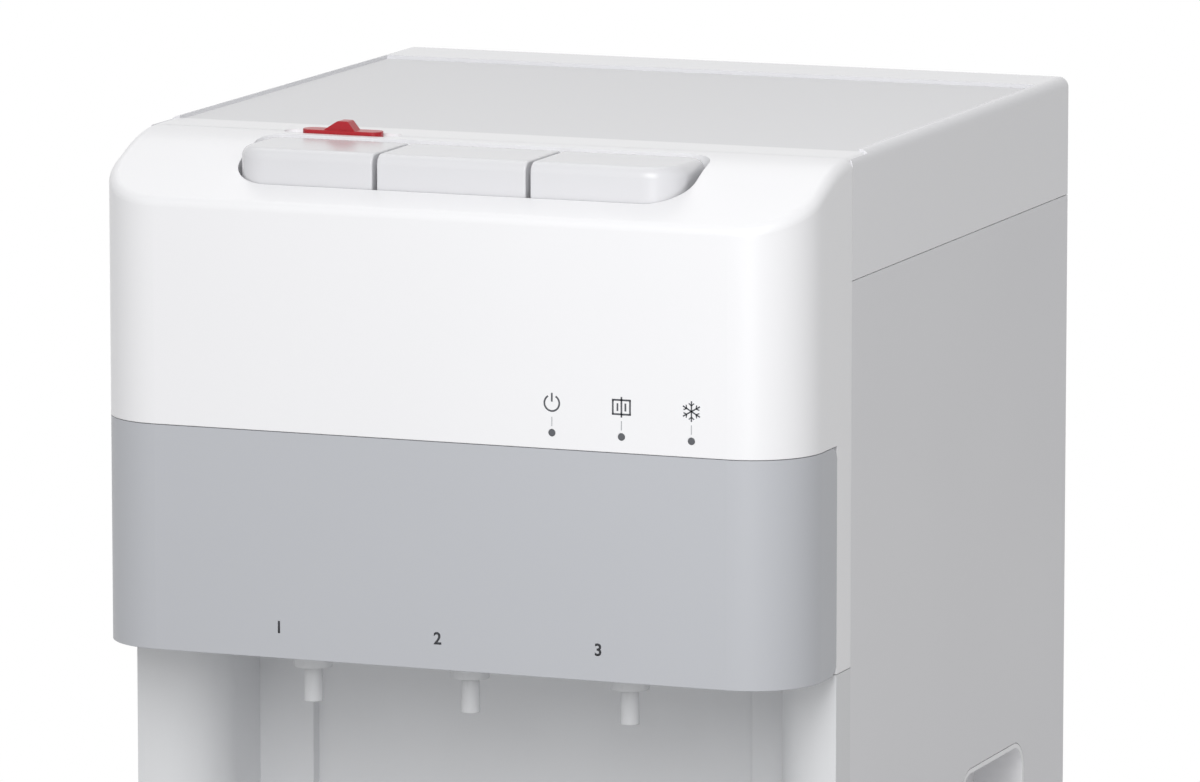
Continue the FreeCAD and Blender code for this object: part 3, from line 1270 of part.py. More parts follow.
def make_bay():
    z0, z1 = plinth_top, deck_bottom - D.fit_gap
    x = half - D.bay_inset
    y0, y1 = y_seam + D.sheet + D.fit_gap, front + D.bay_back_setback
    outer = box(-x, x, y0, y1, z0, z1)
    room = box(-x + D.liner, x - D.liner, y0 - 1, y1 - D.liner, z0 - 1, z1 + 1)
    probe_y = front + D.probe_setback
    hook_z = probe_z - 5
    reach = probe_x + D.probe_collar_radius * 0.6
    hook = box(-x + D.liner / 2, reach, probe_y - 15, probe_y + 15, hook_z, hook_z + 4.7)
    throat = cylinder(probe_x, probe_y, hook_z - 1, D.probe_tube_radius + D.hanger_gap, 8)
    mouth = box(probe_x, reach + 1, probe_y - D.probe_tube_radius - D.hanger_gap,
                probe_y + D.probe_tube_radius + D.hanger_gap, hook_z - 1, hook_z + 7)
    node("bay_liner", fuse(cut(outer, room), cut(hook, throat, mouth)))

    z = probe_z
    tube_z = plinth_top + D.probe_foot_rise
    x = probe_x
    dip = cylinder(x, probe_y, tube_z, D.probe_tube_radius, z - tube_z + 1)
    collar = cylinder(x, probe_y, z, D.probe_collar_radius, D.probe_collar)
    dome = cone(x, probe_y, z + D.probe_collar, D.probe_collar_radius, 9, 10)
    barb = cylinder(x, probe_y, z + D.probe_collar + 9, 5, 16)
    bore = cylinder(x, probe_y, tube_z - 1, D.probe_tube_bore, z - tube_z + 12)
    bore_top = cylinder(x, probe_y, z + 4, 3, 60)
    windows = [box(x - 20, x + 20, probe_y - 1.5, probe_y + 1.5, tube_z - 1, tube_z + 9)]
    node("bottle_probe", cut(fuse(dip, collar, dome, barb), bore, bore_top, *windows))


pump_y = front + D.pump_setback
hot_y = front + D.hot_setback
hot_top = housing_bottom + D.hot_leg + D.hot_tank_height
spout_x = hot_x - D.hot_spout_offset
feed_y = front + D.feed_setback
suction_y = front + D.cold_setback
drier_y = front + D.drier_setback
shelf_z = housing_bottom + D.shelf_rise
shelf_bottom = shelf_z - D.deck
foam_x = half - D.insulation_inset
cold_y = front + D.cold_setback


def make_decks():
    z0, z1 = deck_bottom, housing_bottom
    y0, y1 = y_seam + D.fit_gap, panel_inner - D.sheet - 2 * D.fit_gap
    x = inside_half
    plate = box(-x, x, y0, y1, z0, z1)
    flanges = [box(low, high, y0 + D.sheet, y1, z0 - D.deck_flange, z1)
               for low, high in ((-x, -x + D.deck), (x - D.deck, x))]
    port = cylinder(D.pump_x, pump_y, z0 - 1, D.barb_radius + D.fit_gap, D.deck + 2)
    node("bay_deck", cut(fuse(plate, *flanges), port))

    z0, z1 = shelf_bottom, shelf_z
    y0 = cold_y - D.insulation_half - 2
    plate = box(-x, x, y0, y1, z0, z1)
    flanges = [box(low, high, y0, y1, z0, z1 + D.shelf_flange)
               for low, high in ((-x, -x + D.deck), (x - D.deck, x))]
    y_cup = carry_y - D.carry_lip - 2
    notches = [box(low, high, y_cup, carry_y + D.carry_length + D.carry_lip + 2, z0 - 1,
                   z1 + D.shelf_flange + 1)
               for low, high in ((-x - 1, -half + D.carry_depth + 4),
                                 (half - D.carry_depth - 4, x + 1))]
    passages = [cylinder(px, py, z0 - 1, r + D.hose_hole, D.deck + 2) for px, py, r in
                ((spout_x, hot_y, D.barb_radius), (D.feed_x, feed_y, D.barb_radius),
                 (suction_x, suction_y, D.suction_radius),
                 (condenser_down_x, drier_y, D.capillary_radius))]
    node("tank_shelf", cut(fuse(plate, *flanges), *notches, *passages))


# ---------------------------------------------------------------- tanks, pump and hoses
cold_z = shelf_z + D.insulation_wall
cold_top = cold_z + D.cold_tank_height
foam_top = cold_top + D.insulation_wall
jacket_z = cold_top - D.jacket_height - 12
jacket_radius = D.cold_tank_radius + D.fit_gap + D.jacket
cold_barb_y = cold_y - D.insulation_half - 12
cold_out_x = tap_x - 2.5 * D.hose_bend
capillary_z = cold_z + D.capillary_rise
spigot_top = foam_top + 12


def shell_of_tank(x, y, z, radius, height):
    t = D.tank_skin
    return cut(cylinder(x, y, z, radius, height),
               cylinder(x, y, z + t, radius - t, height - 2 * t))


def make_cold_tank():
    r = D.cold_tank_radius
    reach = cold_y - cold_barb_y
    pipes, bores = [], []
    for x, start in ((size(0), r - 1), (cold_out_x, root(r * r - cold_out_x * cold_out_x) - 1)):
        pipes.append(cylinder(x, cold_barb_y, barb_z, D.barb_radius, reach - start, "Y"))
        bores.append(cylinder(x, cold_barb_y - 1, barb_z, D.barb_bore, reach - start + 4, "Y"))
    feed_foot = shelf_bottom - 8
    pipes.append(cylinder(D.feed_x, feed_y, feed_foot, D.barb_radius, cold_z + 1 - feed_foot))
    bores.append(cylinder(D.feed_x, feed_y, feed_foot - 1, D.barb_bore, cold_z + 4 - feed_foot))
    pipes.append(cylinder(D.fill_x, cold_y, cold_top - 1, D.barb_radius,
                          spigot_top - cold_top + 1))
    bores.append(cylinder(D.fill_x, cold_y, cold_top - 4, D.barb_bore,
                          spigot_top - cold_top + 6))
    skin = shell_of_tank(0, cold_y, cold_z, r, D.cold_tank_height)
    node("cold_tank", cut(fuse(skin, *pipes), *bores))
    gap = D.fit_gap
    node("evaporator_jacket",
         cut(cylinder(0, cold_y, jacket_z, jacket_radius, D.jacket_height),
             cylinder(0, cold_y, jacket_z - 1, r + gap, D.jacket_height + 2)))
    x, y = foam_x, D.insulation_half
    r = D.insulation_corner
    radius = D.cold_tank_radius + gap
    void = [cylinder(0, cold_y, cold_z - gap, radius, D.cold_tank_height + 2 * gap),
            cylinder(0, cold_y, jacket_z - gap, jacket_radius + gap, D.jacket_height + 2 * gap)]
    ports = [cylinder(px, cold_y - y - 1, barb_z, D.barb_radius + gap, y, "Y")
             for px in (0, cold_out_x)]
    ports.append(cylinder(D.feed_x, feed_y, shelf_z - 1, D.barb_radius + gap,
                          D.insulation_wall + 2))
    ports.append(cylinder(D.fill_x, cold_y, cold_top - 1, D.barb_radius + gap,
                          D.insulation_wall + 2))
    ports.append(cylinder(0, suction_y, suction_z, D.suction_radius + gap, x + 1, "X"))
    ports.append(cylinder(0, capillary_y, capillary_z, D.capillary_radius + gap,
                          x + 1, "X"))
    split = jacket_z - 6
    halves = []
    for z0, z1 in ((shelf_z, split), (split + 0.1, foam_top)):
        block = prism("XY", [(-x, cold_y - y, r), (x, cold_y - y, r), (x, cold_y + y, r),
                             (-x, cold_y + y, r)], z0, z1)
        halves.append(cut(block, *void, *ports))
    node("cold_tank_insulation", group(*halves))


def make_hot_tank():
    x, y = hot_x, hot_y
    z0 = housing_bottom + D.hot_leg
    r = D.hot_tank_radius
    legs = []
    for i in range(3):
        angle = math.radians(90 + 120 * i)
        legs.append(cylinder(x + (r - 8) * math.cos(angle), y + (r - 8) * math.sin(angle),
                             housing_bottom, D.hot_leg_radius, D.hot_leg + 0.5))
    feed_gap = shelf_bottom - 8 - D.fit_gap / 3
    pipes = [cylinder(spout_x, y, hot_top - 1, D.barb_radius, spout_top - hot_top + 1),
             cylinder(D.feed_x, feed_y, hot_top - 1, D.barb_radius, feed_gap - hot_top + 1),
             cylinder(x, y + r - 2, drain_z, 0.75 * D.drain_radius, drain_y - y - r + 2, "Y")]
    bores = [cylinder(spout_x, y, hot_top - 3, D.barb_bore, spout_top - hot_top + 4),
             cylinder(D.feed_x, feed_y, hot_top - 3, D.barb_bore, feed_gap - hot_top + 4),
             cylinder(x, y + r - 4, drain_z, D.drain_radius / 2, drain_y - y - r + 5, "Y")]
    skin = shell_of_tank(x, y, z0, r, D.hot_tank_height)
    node("hot_tank", cut(fuse(skin, *legs, *pipes), *bores))
    z1 = hot_top - D.heater_height - 20
    node("hot_tank_heater_band",
         cut(cylinder(x, y, z1, r + D.fit_gap + D.heater, D.heater_height),
             cylinder(x, y, z1 - 1, r + D.fit_gap, D.heater_height + 2)))
    flange_y = panel_inner - D.fit_gap / 3
    outlet = fuse(cylinder(x, drain_y, drain_z, D.drain_radius, back - drain_y + D.drain_reach,
                           "Y"),
                  cylinder(x, flange_y - 3, drain_z, D.drain_radius + 5, 3, "Y"))
    node("drain_outlet", cut(outlet, cylinder(x, drain_y - 1, drain_z, D.drain_radius / 2,
                                              back - drain_y + D.drain_reach + 2, "Y")))
    outer = D.drain_radius + D.fit_gap + D.drain_cap_wall
    y2 = back + 1.5
    length = back + D.drain_reach + D.fit_gap - y2
    node("drain_cap", cut(cylinder(x, y2, drain_z, outer, length + 2, "Y"),
                          cylinder(x, y2 - 1, drain_z, D.drain_radius + D.fit_gap, length + 1,
                                   "Y")))


drain_y = panel_inner - 6
spout_top = shelf_z + 14
outlet_z = housing_bottom + D.pump_base + 11


def make_pump():
    x, y, z = D.pump_x, pump_y, housing_bottom
    base = box(x - D.pump_half_width, x + D.pump_half_width, y - D.pump_half_depth,
               y + D.pump_half_depth, z, z + D.pump_base)
    head = cylinder(x, y, z + D.pump_base - 1, D.pump_radius, D.pump_height)
    motor_z = z + D.pump_base + D.pump_height - 2
    motor = cylinder(x, y, motor_z, D.motor_radius, D.motor_height)
    inlet = cylinder(x, y, deck_bottom - 12, D.barb_radius, 20)
    outlet = cylinder(x + D.pump_radius - 2, y, outlet_z, D.barb_radius, D.barb_length, "X")
    bores = [cylinder(x, y, deck_bottom - 13, D.barb_bore, 18),
             cylinder(x + D.pump_radius - 4, y, outlet_z, D.barb_bore, D.barb_length + 4, "X")]
    node("water_pump", cut(fuse(base, head, motor, inlet, outlet), *bores))


def make_hoses():
    """The hoses of the water circuit, each from fitting to fitting."""
    seat = D.fit_gap / 3
    tap_end = tap_barb_y + seat
    tank_end = cold_barb_y - seat
    middle = (tap_end + tank_end) / 2
    out_x = D.pump_x + D.pump_radius - 2 + D.barb_length + seat
    over = spigot_top + 20
    hose_runs = [
        [(0, tank_end, barb_z), (0, tap_end, barb_z)],
        [(cold_out_x, tank_end, barb_z), (cold_out_x, middle, barb_z),
         (tap_x, middle, barb_z), (tap_x, tap_end, barb_z)],
        [(spout_x, hot_y, spout_top + seat), (spout_x, hot_y, barb_z),
         (spout_x, middle, barb_z), (-tap_x, middle, barb_z),
         (-tap_x, tap_end, barb_z)],
        [(out_x, pump_y, outlet_z), (D.riser_x, pump_y, outlet_z),
         (D.riser_x, front + D.riser_setback, outlet_z), (D.riser_x, front + D.riser_setback, over),
         (D.fill_x, cold_y, over), (D.fill_x, cold_y, spigot_top + seat)],
    ]
    shapes = []
    for run in hose_runs:
        shapes.append(tube(run, D.barb_radius, D.hose_bend).cut(
            tube(run, D.barb_bore, D.hose_bend)))
    shaped("water_hoses", Part.makeCompound(shapes))


# ---------------------------------------------------------------- refrigeration
suction_z = jacket_z + 30
capillary_y = cold_y + 24
stub_top = housing_bottom + D.mount_height + D.compressor_height + 8


def make_compressor():
    x, y = compressor_x, front + D.compressor_setback
    z = housing_bottom + D.mount_height
    r, height = D.compressor_radius, D.compressor_height
    fx, fy = D.compressor_foot_x, D.compressor_foot_y
    foot = box(x - fx - 10, x + fx + 10, y - fy - 10, y + fy + 10, z, z + D.compressor_foot)
    spots = [(x + sx * fx, y + sy * fy) for sx in (-1, 1) for sy in (-1, 1)]
    holes = [cylinder(sx, sy, z - 1, D.mount_radius / 2 + D.fit_gap, 5) for sx, sy in spots]
    straight = height - D.compressor_dome
    can = cylinder(x, y, z + 1, r, straight)
    dome = cone(x, y, z + straight + 1, r, r * 0.55, D.compressor_dome - 1)
    seam = cylinder(x, y, z + straight * 0.55, r + 1.6, 5)
    discharge = cylinder(condenser_in_x, y, condenser_top, D.suction_radius,
                         drier_y - y - D.fit_gap / 3, "Y")
    suction = cylinder(suction_x, suction_y, z + height * 0.6, D.suction_radius + 1,
                       stub_top - z - height * 0.6)
    node("compressor", cut(fuse(cut(foot, *holes), can, dome, seam, discharge, suction),
                           cylinder(x, y, z + 3, r - 3, straight - 6)))
    mounts = []
    for sx, sy in spots:
        mounts.append(fuse(cylinder(sx, sy, housing_bottom, D.mount_radius,
                                    D.mount_height - D.fit_gap / 3),
                           cylinder(sx, sy, z - 1, D.mount_radius / 2, D.compressor_foot + 3)))
    node("compressor_mounts", group(*mounts))


def make_condenser():
    """One tube folded to and fro, with upright wires on both sides and four brackets."""
    x0, x1 = -condenser_half.number, condenser_half.number
    y, pitch = condenser_y.number, condenser_pitch.number
    low, runs = D.condenser_bottom.number, int(D.condenser_runs.number)
    high, sharp = condenser_top.number, D.pipe_bend.number
    down, inner = condenser_down_x.number, drier_y.number
    drier_foot = high + D.drier_rise.number
    points = [(down, inner, drier_foot), (down, inner, high, sharp), (down, y, high, sharp),
              (down, y, low, sharp)]
    for i in range(runs):
        z = low + i * pitch
        near, far = (x1, x0) if i % 2 == 0 else (x0, x1)
        if i:
            points.append((near, y, z))
        if i < runs - 1:
            points.append((far, y, z))
    points += [(condenser_in_x.number, y, high, sharp), (condenser_in_x.number, inner, high)]
    shapes = [tube(points, D.condenser_tube, pitch / 2 - 0.01)]
    wire = D.condenser_wire.number
    step = D.condenser_wire_pitch.number
    off = D.condenser_tube.number + wire + D.wire_gap.number
    reach = condenser_half.number - pitch / 2 - 4
    count = int(2 * reach / step) + 1
    for side in (-1, 1):
        for i in range(count):
            base = Vector(-step * (count - 1) / 2 + i * step, y + side * off, low - 12)
            shapes.append(Part.makeCylinder(wire, high - low + 24, base))
    room = y - D.condenser_tube.number - D.wire_gap.number - back.number
    for x in (x0 + pitch / 2 - 7, x1 - pitch / 2 + 1):
        for row in (1, runs - 2):
            corner = Vector(x, back.number, low + row * pitch - 4.5)
            shapes.append(Part.makeBox(6, room, 9, corner))
    shaped("condenser", Part.makeCompound(shapes))


def make_refrigerant_lines():
    """The drier with its tapered ends, the suction pipe and the capillary pipe."""
    x, y, r = condenser_down_x.number, drier_y.number, D.drier_radius.number
    z = (condenser_top + D.drier_rise + D.fit_gap / 3).number
    taper, length = D.drier_cone.number, D.drier_length.number
    thin = D.condenser_tube.number
    drier = Part.makeCylinder(r, length, Vector(x, y, z + taper))
    ends = [Part.makeCone(thin, r, taper, Vector(x, y, z)),
            Part.makeCone(r, thin, taper, Vector(x, y, z + taper + length))]
    seat = D.fit_gap.number / 3
    suction = tube([(jacket_radius + seat, suction_y, suction_z),
                    (suction_x, suction_y, suction_z),
                    (suction_x, suction_y, stub_top + seat)], D.suction_radius, D.hose_bend)
    entry = root(jacket_radius * jacket_radius - (capillary_y - cold_y) * (capillary_y - cold_y))
    capillary = tube([(x, y, z + 2 * taper + length + seat), (x, y, capillary_z),
                      (x, capillary_y, capillary_z),
                      (entry + 0.8, capillary_y, capillary_z)],
                     D.capillary_radius, D.hose_bend)
    shaped("refrigerant_lines", Part.makeCompound([drier.fuse(ends).removeSplitter(), suction,
                                                   capillary]))


# ---------------------------------------------------------------- rear fittings
def make_switches():
    names = ["hot_switch_rocker", "cold_switch_rocker"]
    frames = []
    w, h = D.switch_width / 2, D.switch_length / 2
    x = switch_x
    for label, z in zip(names, switch_spots()):
        outer = fuse(box(x - w - 2, x + w + 2, back, back + 2, z - h - 2, z + h + 2),
                     box(x - w + D.fit_gap, x + w - D.fit_gap, panel_inner - D.switch_body,
                         back + 1, z - h + D.fit_gap, z + h - D.fit_gap))
        well = box(x - w + 2, x + w - 2, back - 9, back + 3, z - h + 2, z + h - 2)
        pin_hole = cylinder(x - w + 1, back - 1, z, 1.0 + D.running_fit, 2 * w - 2, "X")
        frames.append(cut(outer, well, pin_hole))
        rocker = prism("YZ", [(back - 5.5, z - 5.5), (back - 1, z - h + 2.6),
                              (back + 4.6, z - h + 2.6), (back + 2.4, z),
                              (back + 4.6, z + h - 2.6), (back - 1, z + h - 2.6),
                              (back - 5.5, z + 5.5)], x - w + 2.4, x + w - 2.4)
        pin = cylinder(x - w + 1.2, back - 1, z, 1.0, 2 * w - 2.4, "X")
        item = node(label, fuse(rocker, pin))
        pivot = Vector(0, (back - 1).number, z.number)
        lean = FreeCAD.Rotation(Vector(1, 0, 0), D.switch_tilt.number)
        item.Placement = FreeCAD.Placement(Vector(), lean, pivot)
    node("switch_frames", group(*frames))


def make_power_inlet():
    x, z = inlet_x, inlet_z
    w, h = D.inlet_width / 2, D.inlet_tall / 2
    gap = D.fit_gap
    flange = box(x - w - D.inlet_ear, x + w + D.inlet_ear, back, back + 2.5, z - h - 2, z + h + 2)
    housing = box(x - w + gap, x + w - gap, panel_inner - D.inlet_depth, back + 1,
                  z - h + gap, z + h - gap)
    well = box(x - w + 2, x + w - 2, back - 12, back + 4, z - h + 2.5, z + h - 2.5)
    pins = [box(x + dx - 1, x + dx + 1, back - 13, back - 3, z + dz - 2, z + dz + 2)
            for dx, dz in ((-7, -1.5), (0, 2), (7, -1.5))]
    node("power_inlet", fuse(cut(fuse(flange, housing), well), *pins))


def build():
    make_plinth()
    make_side("left", -1)
    make_side("right", 1)
    make_top_cover()
    make_rear()
    make_screws()
    make_head_shell()
    make_front_band()
    make_niche_ceiling()
    make_niche()
    make_buttons()
    make_child_lock()
    make_taps()
    make_rods_and_springs()
    make_indicators()
    make_control_board()
    make_tray_housing()
    make_drip_tray()
    make_drip_grille()
    make_door_frame()
    make_door()
    make_bay()
    make_decks()
    make_cold_tank()
    make_hot_tank()
    make_pump()
    make_hoses()
    make_compressor()
    make_condenser()
    make_refrigerant_lines()
    make_switches()
    make_power_inlet()
    doc.recompute()


def check():
    faults = []
    for item in doc.Objects:
        if "Invalid" in item.State or "Error" in item.State:
            faults.append(f"{item.Label}: {item.State}")
    for item in nodes:
        if item.Shape.isNull() or not item.Shape.isValid() or not item.Shape.Solids:
            faults.append(f"{item.Label}: no valid solid")
    if faults:
        raise RuntimeError("\n".join(faults))


def write():
    os.makedirs("parts", exist_ok=True)
    for item in nodes:
        item.Shape.exportStep(f"parts/{item.Label}.step")
    print(f"{len(nodes)} sub-parts, {sum(len(n.Shape.Solids) for n in nodes)} solids")


build()
check()
write()
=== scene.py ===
# %% [markdown]
# # Bottom load water cooler
# The construction comes in as a fixed frame: sixty named parts at their real size. This lesson
# gives each part its finish, adds the small pieces that are better modelled than machined, and
# sets up a studio and a camera. We start by loading the frame.

# %% Load the frame
import json
import math

import bmesh
import bpy
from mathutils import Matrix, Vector


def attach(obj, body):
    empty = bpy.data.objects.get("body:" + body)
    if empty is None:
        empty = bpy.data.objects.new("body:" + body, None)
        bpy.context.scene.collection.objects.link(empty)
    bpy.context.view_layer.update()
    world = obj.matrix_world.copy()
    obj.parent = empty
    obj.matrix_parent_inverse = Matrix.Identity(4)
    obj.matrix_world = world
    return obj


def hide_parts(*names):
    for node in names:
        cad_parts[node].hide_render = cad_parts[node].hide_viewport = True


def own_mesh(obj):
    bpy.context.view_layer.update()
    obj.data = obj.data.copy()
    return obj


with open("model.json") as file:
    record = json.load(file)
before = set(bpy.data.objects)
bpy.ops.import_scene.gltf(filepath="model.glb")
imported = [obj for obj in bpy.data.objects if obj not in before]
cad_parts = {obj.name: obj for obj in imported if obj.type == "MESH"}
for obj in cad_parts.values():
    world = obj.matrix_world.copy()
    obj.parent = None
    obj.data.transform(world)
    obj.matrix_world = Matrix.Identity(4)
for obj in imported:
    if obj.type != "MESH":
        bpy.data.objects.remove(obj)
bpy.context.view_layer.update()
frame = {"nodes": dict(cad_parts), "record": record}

scene = bpy.context.scene
scene.view_settings.view_transform = "Standard"
MM = 0.001               # lengths below are in millimetres where they are multiplied by this

# %% [markdown]
# ## Camera
# The picture is a long-lens view from a little to the right and a little above, so the camera
# stands far away with a narrow angle. It aims at a point inside the head and needs no shift.

# %% Place the camera
CAMERA_AT = (1.3400, -3.4729, 1.5090)
AIM = (0.0043, -0.0075, 0.9204)
LENS, SENSOR = 266.84, 36.0


def turned_to(at, aim):
    """The rotation that points a camera or a lamp at a place."""
    return (Vector(aim) - Vector(at)).to_track_quat("-Z", "Y").to_euler()


bpy.ops.object.camera_add(location=CAMERA_AT)
camera = bpy.context.object
camera.name = "photo_camera"
camera.data.sensor_width = SENSOR
camera.data.lens = LENS
camera.rotation_euler = turned_to(CAMERA_AT, AIM)
scene.camera = camera
print("camera distance", round((Vector(AIM) - Vector(CAMERA_AT)).length, 3), "m")

# %% [markdown]
# ## Studio
# A white appliance on white needs light that comes mostly from one side, or its corners vanish.
# A weak even sky fills the shadows. It is plain white where the camera, a reflection or glass
# shows it directly, so the background is white without more light on the cooler.

# %% Helpers for node trees
WHITE = (1.0, 1.0, 1.0, 1.0)


def add(tree, kind, links=None, **settings):
    """Add a node, set its inputs or properties, and link its inputs to other sockets."""
    node = tree.nodes.new(kind)
    for key, value in settings.items():
        if key in node.inputs:
            node.inputs[key].default_value = value
        else:
            setattr(node, key, value)
    for key, source in (links or {}).items():
        tree.links.new(source, node.inputs[key])
    return node


def linear(hex_colour):
    """Turn an sRGB hex colour into the linear colour that a shader takes."""
    channels = [int(hex_colour[i:i + 2], 16) / 255 for i in (1, 3, 5)]
    return tuple(c / 12.92 if c <= 0.04045 else ((c + 0.055) / 1.055) ** 2.4
                 for c in channels) + (1.0,)


def empty_material(name):
    """A new material whose node tree holds nothing yet."""
    material = bpy.data.materials.new(name)
    material.use_nodes = True
    material.node_tree.nodes.clear()
    return material


def seen_directly(tree):
    """1 for rays that show the background: from the camera, a reflection or through glass."""
    path = add(tree, "ShaderNodeLightPath")
    both = add(tree, "ShaderNodeMath", {0: path.outputs["Is Camera Ray"],
                                        1: path.outputs["Is Glossy Ray"]}, operation="MAXIMUM")
    return add(tree, "ShaderNodeMath", {0: both.outputs[0],
                                        1: path.outputs["Is Transmission Ray"]},
               operation="MAXIMUM").outputs[0]


# %% Sky
SKY_LIGHT = 0.40
world = bpy.data.worlds.new("studio_sky")
scene.world = world
world.use_nodes = True
sky = world.node_tree
sky.nodes.clear()
dim = add(sky, "ShaderNodeBackground", Color=WHITE, Strength=SKY_LIGHT)
bright = add(sky, "ShaderNodeBackground", Color=WHITE, Strength=1.0)
shown = add(sky, "ShaderNodeMixShader", {0: seen_directly(sky), 1: dim.outputs[0],
                                         2: bright.outputs[0]})
add(sky, "ShaderNodeOutputWorld", {"Surface": shown.outputs[0]})
print("sky light:", SKY_LIGHT)

# %% [markdown]
# Three soft lamps light the cooler. A large one stands in front, a little right of the middle,
# and reaches well above the head, so that the niche under the head stays in shade. A second one
# behind and above lights the top, and a small one close to the right front corner makes that end
# of the head brightest.

# %% Lamps
def lamp(name, at, aim, width, height, power):
    """A soft lamp of that width and height in metres, which the camera doesn't see."""
    bpy.ops.object.light_add(type="AREA", location=at)
    light = bpy.context.object
    light.name = name
    light.data.shape = "RECTANGLE"
    light.data.size = width
    light.data.size_y = height
    light.data.energy = power
    light.rotation_euler = turned_to(at, aim)
    light.visible_camera = False


NICHE, COVER, CORNER = (0.0, -0.1, 0.85), (0.0, 0.0, 1.04), (0.10, -0.18, 0.95)
lamp("key_light", (0.42, -1.88, 2.10), NICHE, 1.2, 1.7, 28.0)
lamp("overhead_light", (-0.55, 0.65, 2.45), COVER, 1.3, 1.3, 4.5)
lamp("corner_light", (0.24, -0.56, 1.05), CORNER, 0.15, 0.45, 0.30)
print("lamps: 3")

# %% [markdown]
# The floor is pale matt paint that keeps the cooler's shadow. Towards its rim it fades into the
# white of the sky, so no horizon shows.

# %% Floor
FLOOR_RADIUS, FADE_START, FADE_END = 2.6, 0.9, 2.3
bpy.ops.mesh.primitive_circle_add(vertices=128, radius=FLOOR_RADIUS, fill_type="NGON")
floor = bpy.context.object
floor.name = "studio_floor"
floor_paint = empty_material("pale_floor_paint")
tree = floor_paint.node_tree
place = add(tree, "ShaderNodeTexCoord").outputs["Object"]
reach = add(tree, "ShaderNodeVectorMath", {0: place}, operation="LENGTH")
fade = add(tree, "ShaderNodeMapRange", {"Value": reach.outputs["Value"]},
           interpolation_type="SMOOTHSTEP")
fade.inputs["From Min"].default_value = FADE_START
fade.inputs["From Max"].default_value = FADE_END
far = add(tree, "ShaderNodeMath", {0: fade.outputs["Result"], 1: seen_directly(tree)},
          operation="MULTIPLY")
paint = add(tree, "ShaderNodeBsdfDiffuse", Color=linear("#EDEDED"))
glow = add(tree, "ShaderNodeEmission", Color=WHITE, Strength=1.0)
blend = add(tree, "ShaderNodeMixShader", {0: far.outputs[0], 1: paint.outputs[0],
                                          2: glow.outputs[0]})
add(tree, "ShaderNodeOutputMaterial", {"Surface": blend.outputs[0]})
floor.data.materials.append(floor_paint)
print("floor:", 2 * FLOOR_RADIUS, "m across")

# %% [markdown]
# ## Finishes
# Nearly everything here is moulded plastic or painted sheet, and such surfaces are never one
# flat value. Their gloss drifts over a few centimetres, and a fine grain from the mould or the
# spray gun breaks the highlight. One function builds that. Sharp machined edges don't exist on
# a moulding either, so the shader rounds every edge by a few tenths of a millimetre.

# %% A function for solid finishes
DRIFT = 14.0             # noise cells in a metre, so tone and gloss change over about 70 mm


def finish(name, tones, roughness, grain_mm, grain_depth_mm, edge_mm=0.4, **shader):
    """A surface between two tones and two roughnesses, with a grain of a real size."""
    material = empty_material(name)
    tree = material.node_tree
    place = add(tree, "ShaderNodeTexCoord").outputs["Object"]
    drift = add(tree, "ShaderNodeTexNoise", {"Vector": place}, Scale=DRIFT, Detail=3.0)
    tone = add(tree, "ShaderNodeMix", {"Factor": drift.outputs["Fac"]}, data_type="RGBA")
    tone.inputs[6].default_value = linear(tones[0])
    tone.inputs[7].default_value = linear(tones[1])
    gloss = add(tree, "ShaderNodeMapRange", {"Value": drift.outputs["Fac"]})
    gloss.inputs["To Min"].default_value = roughness[0]
    gloss.inputs["To Max"].default_value = roughness[1]
    grain = add(tree, "ShaderNodeTexNoise", {"Vector": place}, Scale=1 / (grain_mm * MM),
                Detail=2.0)
    edge = add(tree, "ShaderNodeBevel", Radius=edge_mm * MM, samples=4)
    bump = add(tree, "ShaderNodeBump", {"Height": grain.outputs["Fac"],
                                        "Normal": edge.outputs["Normal"]},
               Strength=1.0, Distance=grain_depth_mm * MM)
    surface = add(tree, "ShaderNodeBsdfPrincipled",
                  {"Base Color": tone.outputs[2], "Roughness": gloss.outputs["Result"],
                   "Normal": bump.outputs["Normal"]}, **shader)
    add(tree, "ShaderNodeOutputMaterial", {"Surface": surface.outputs[0]})
    return material


# %% [markdown]
# ### Plastics
# The head, the buttons and the door are ABS, injection moulded in a lightly etched mould. That
# gives a soft sheen without clear reflections. The band is the same plastic, dyed a cool grey.
# Each finish is kept under the name of the slot that the parts ask for.

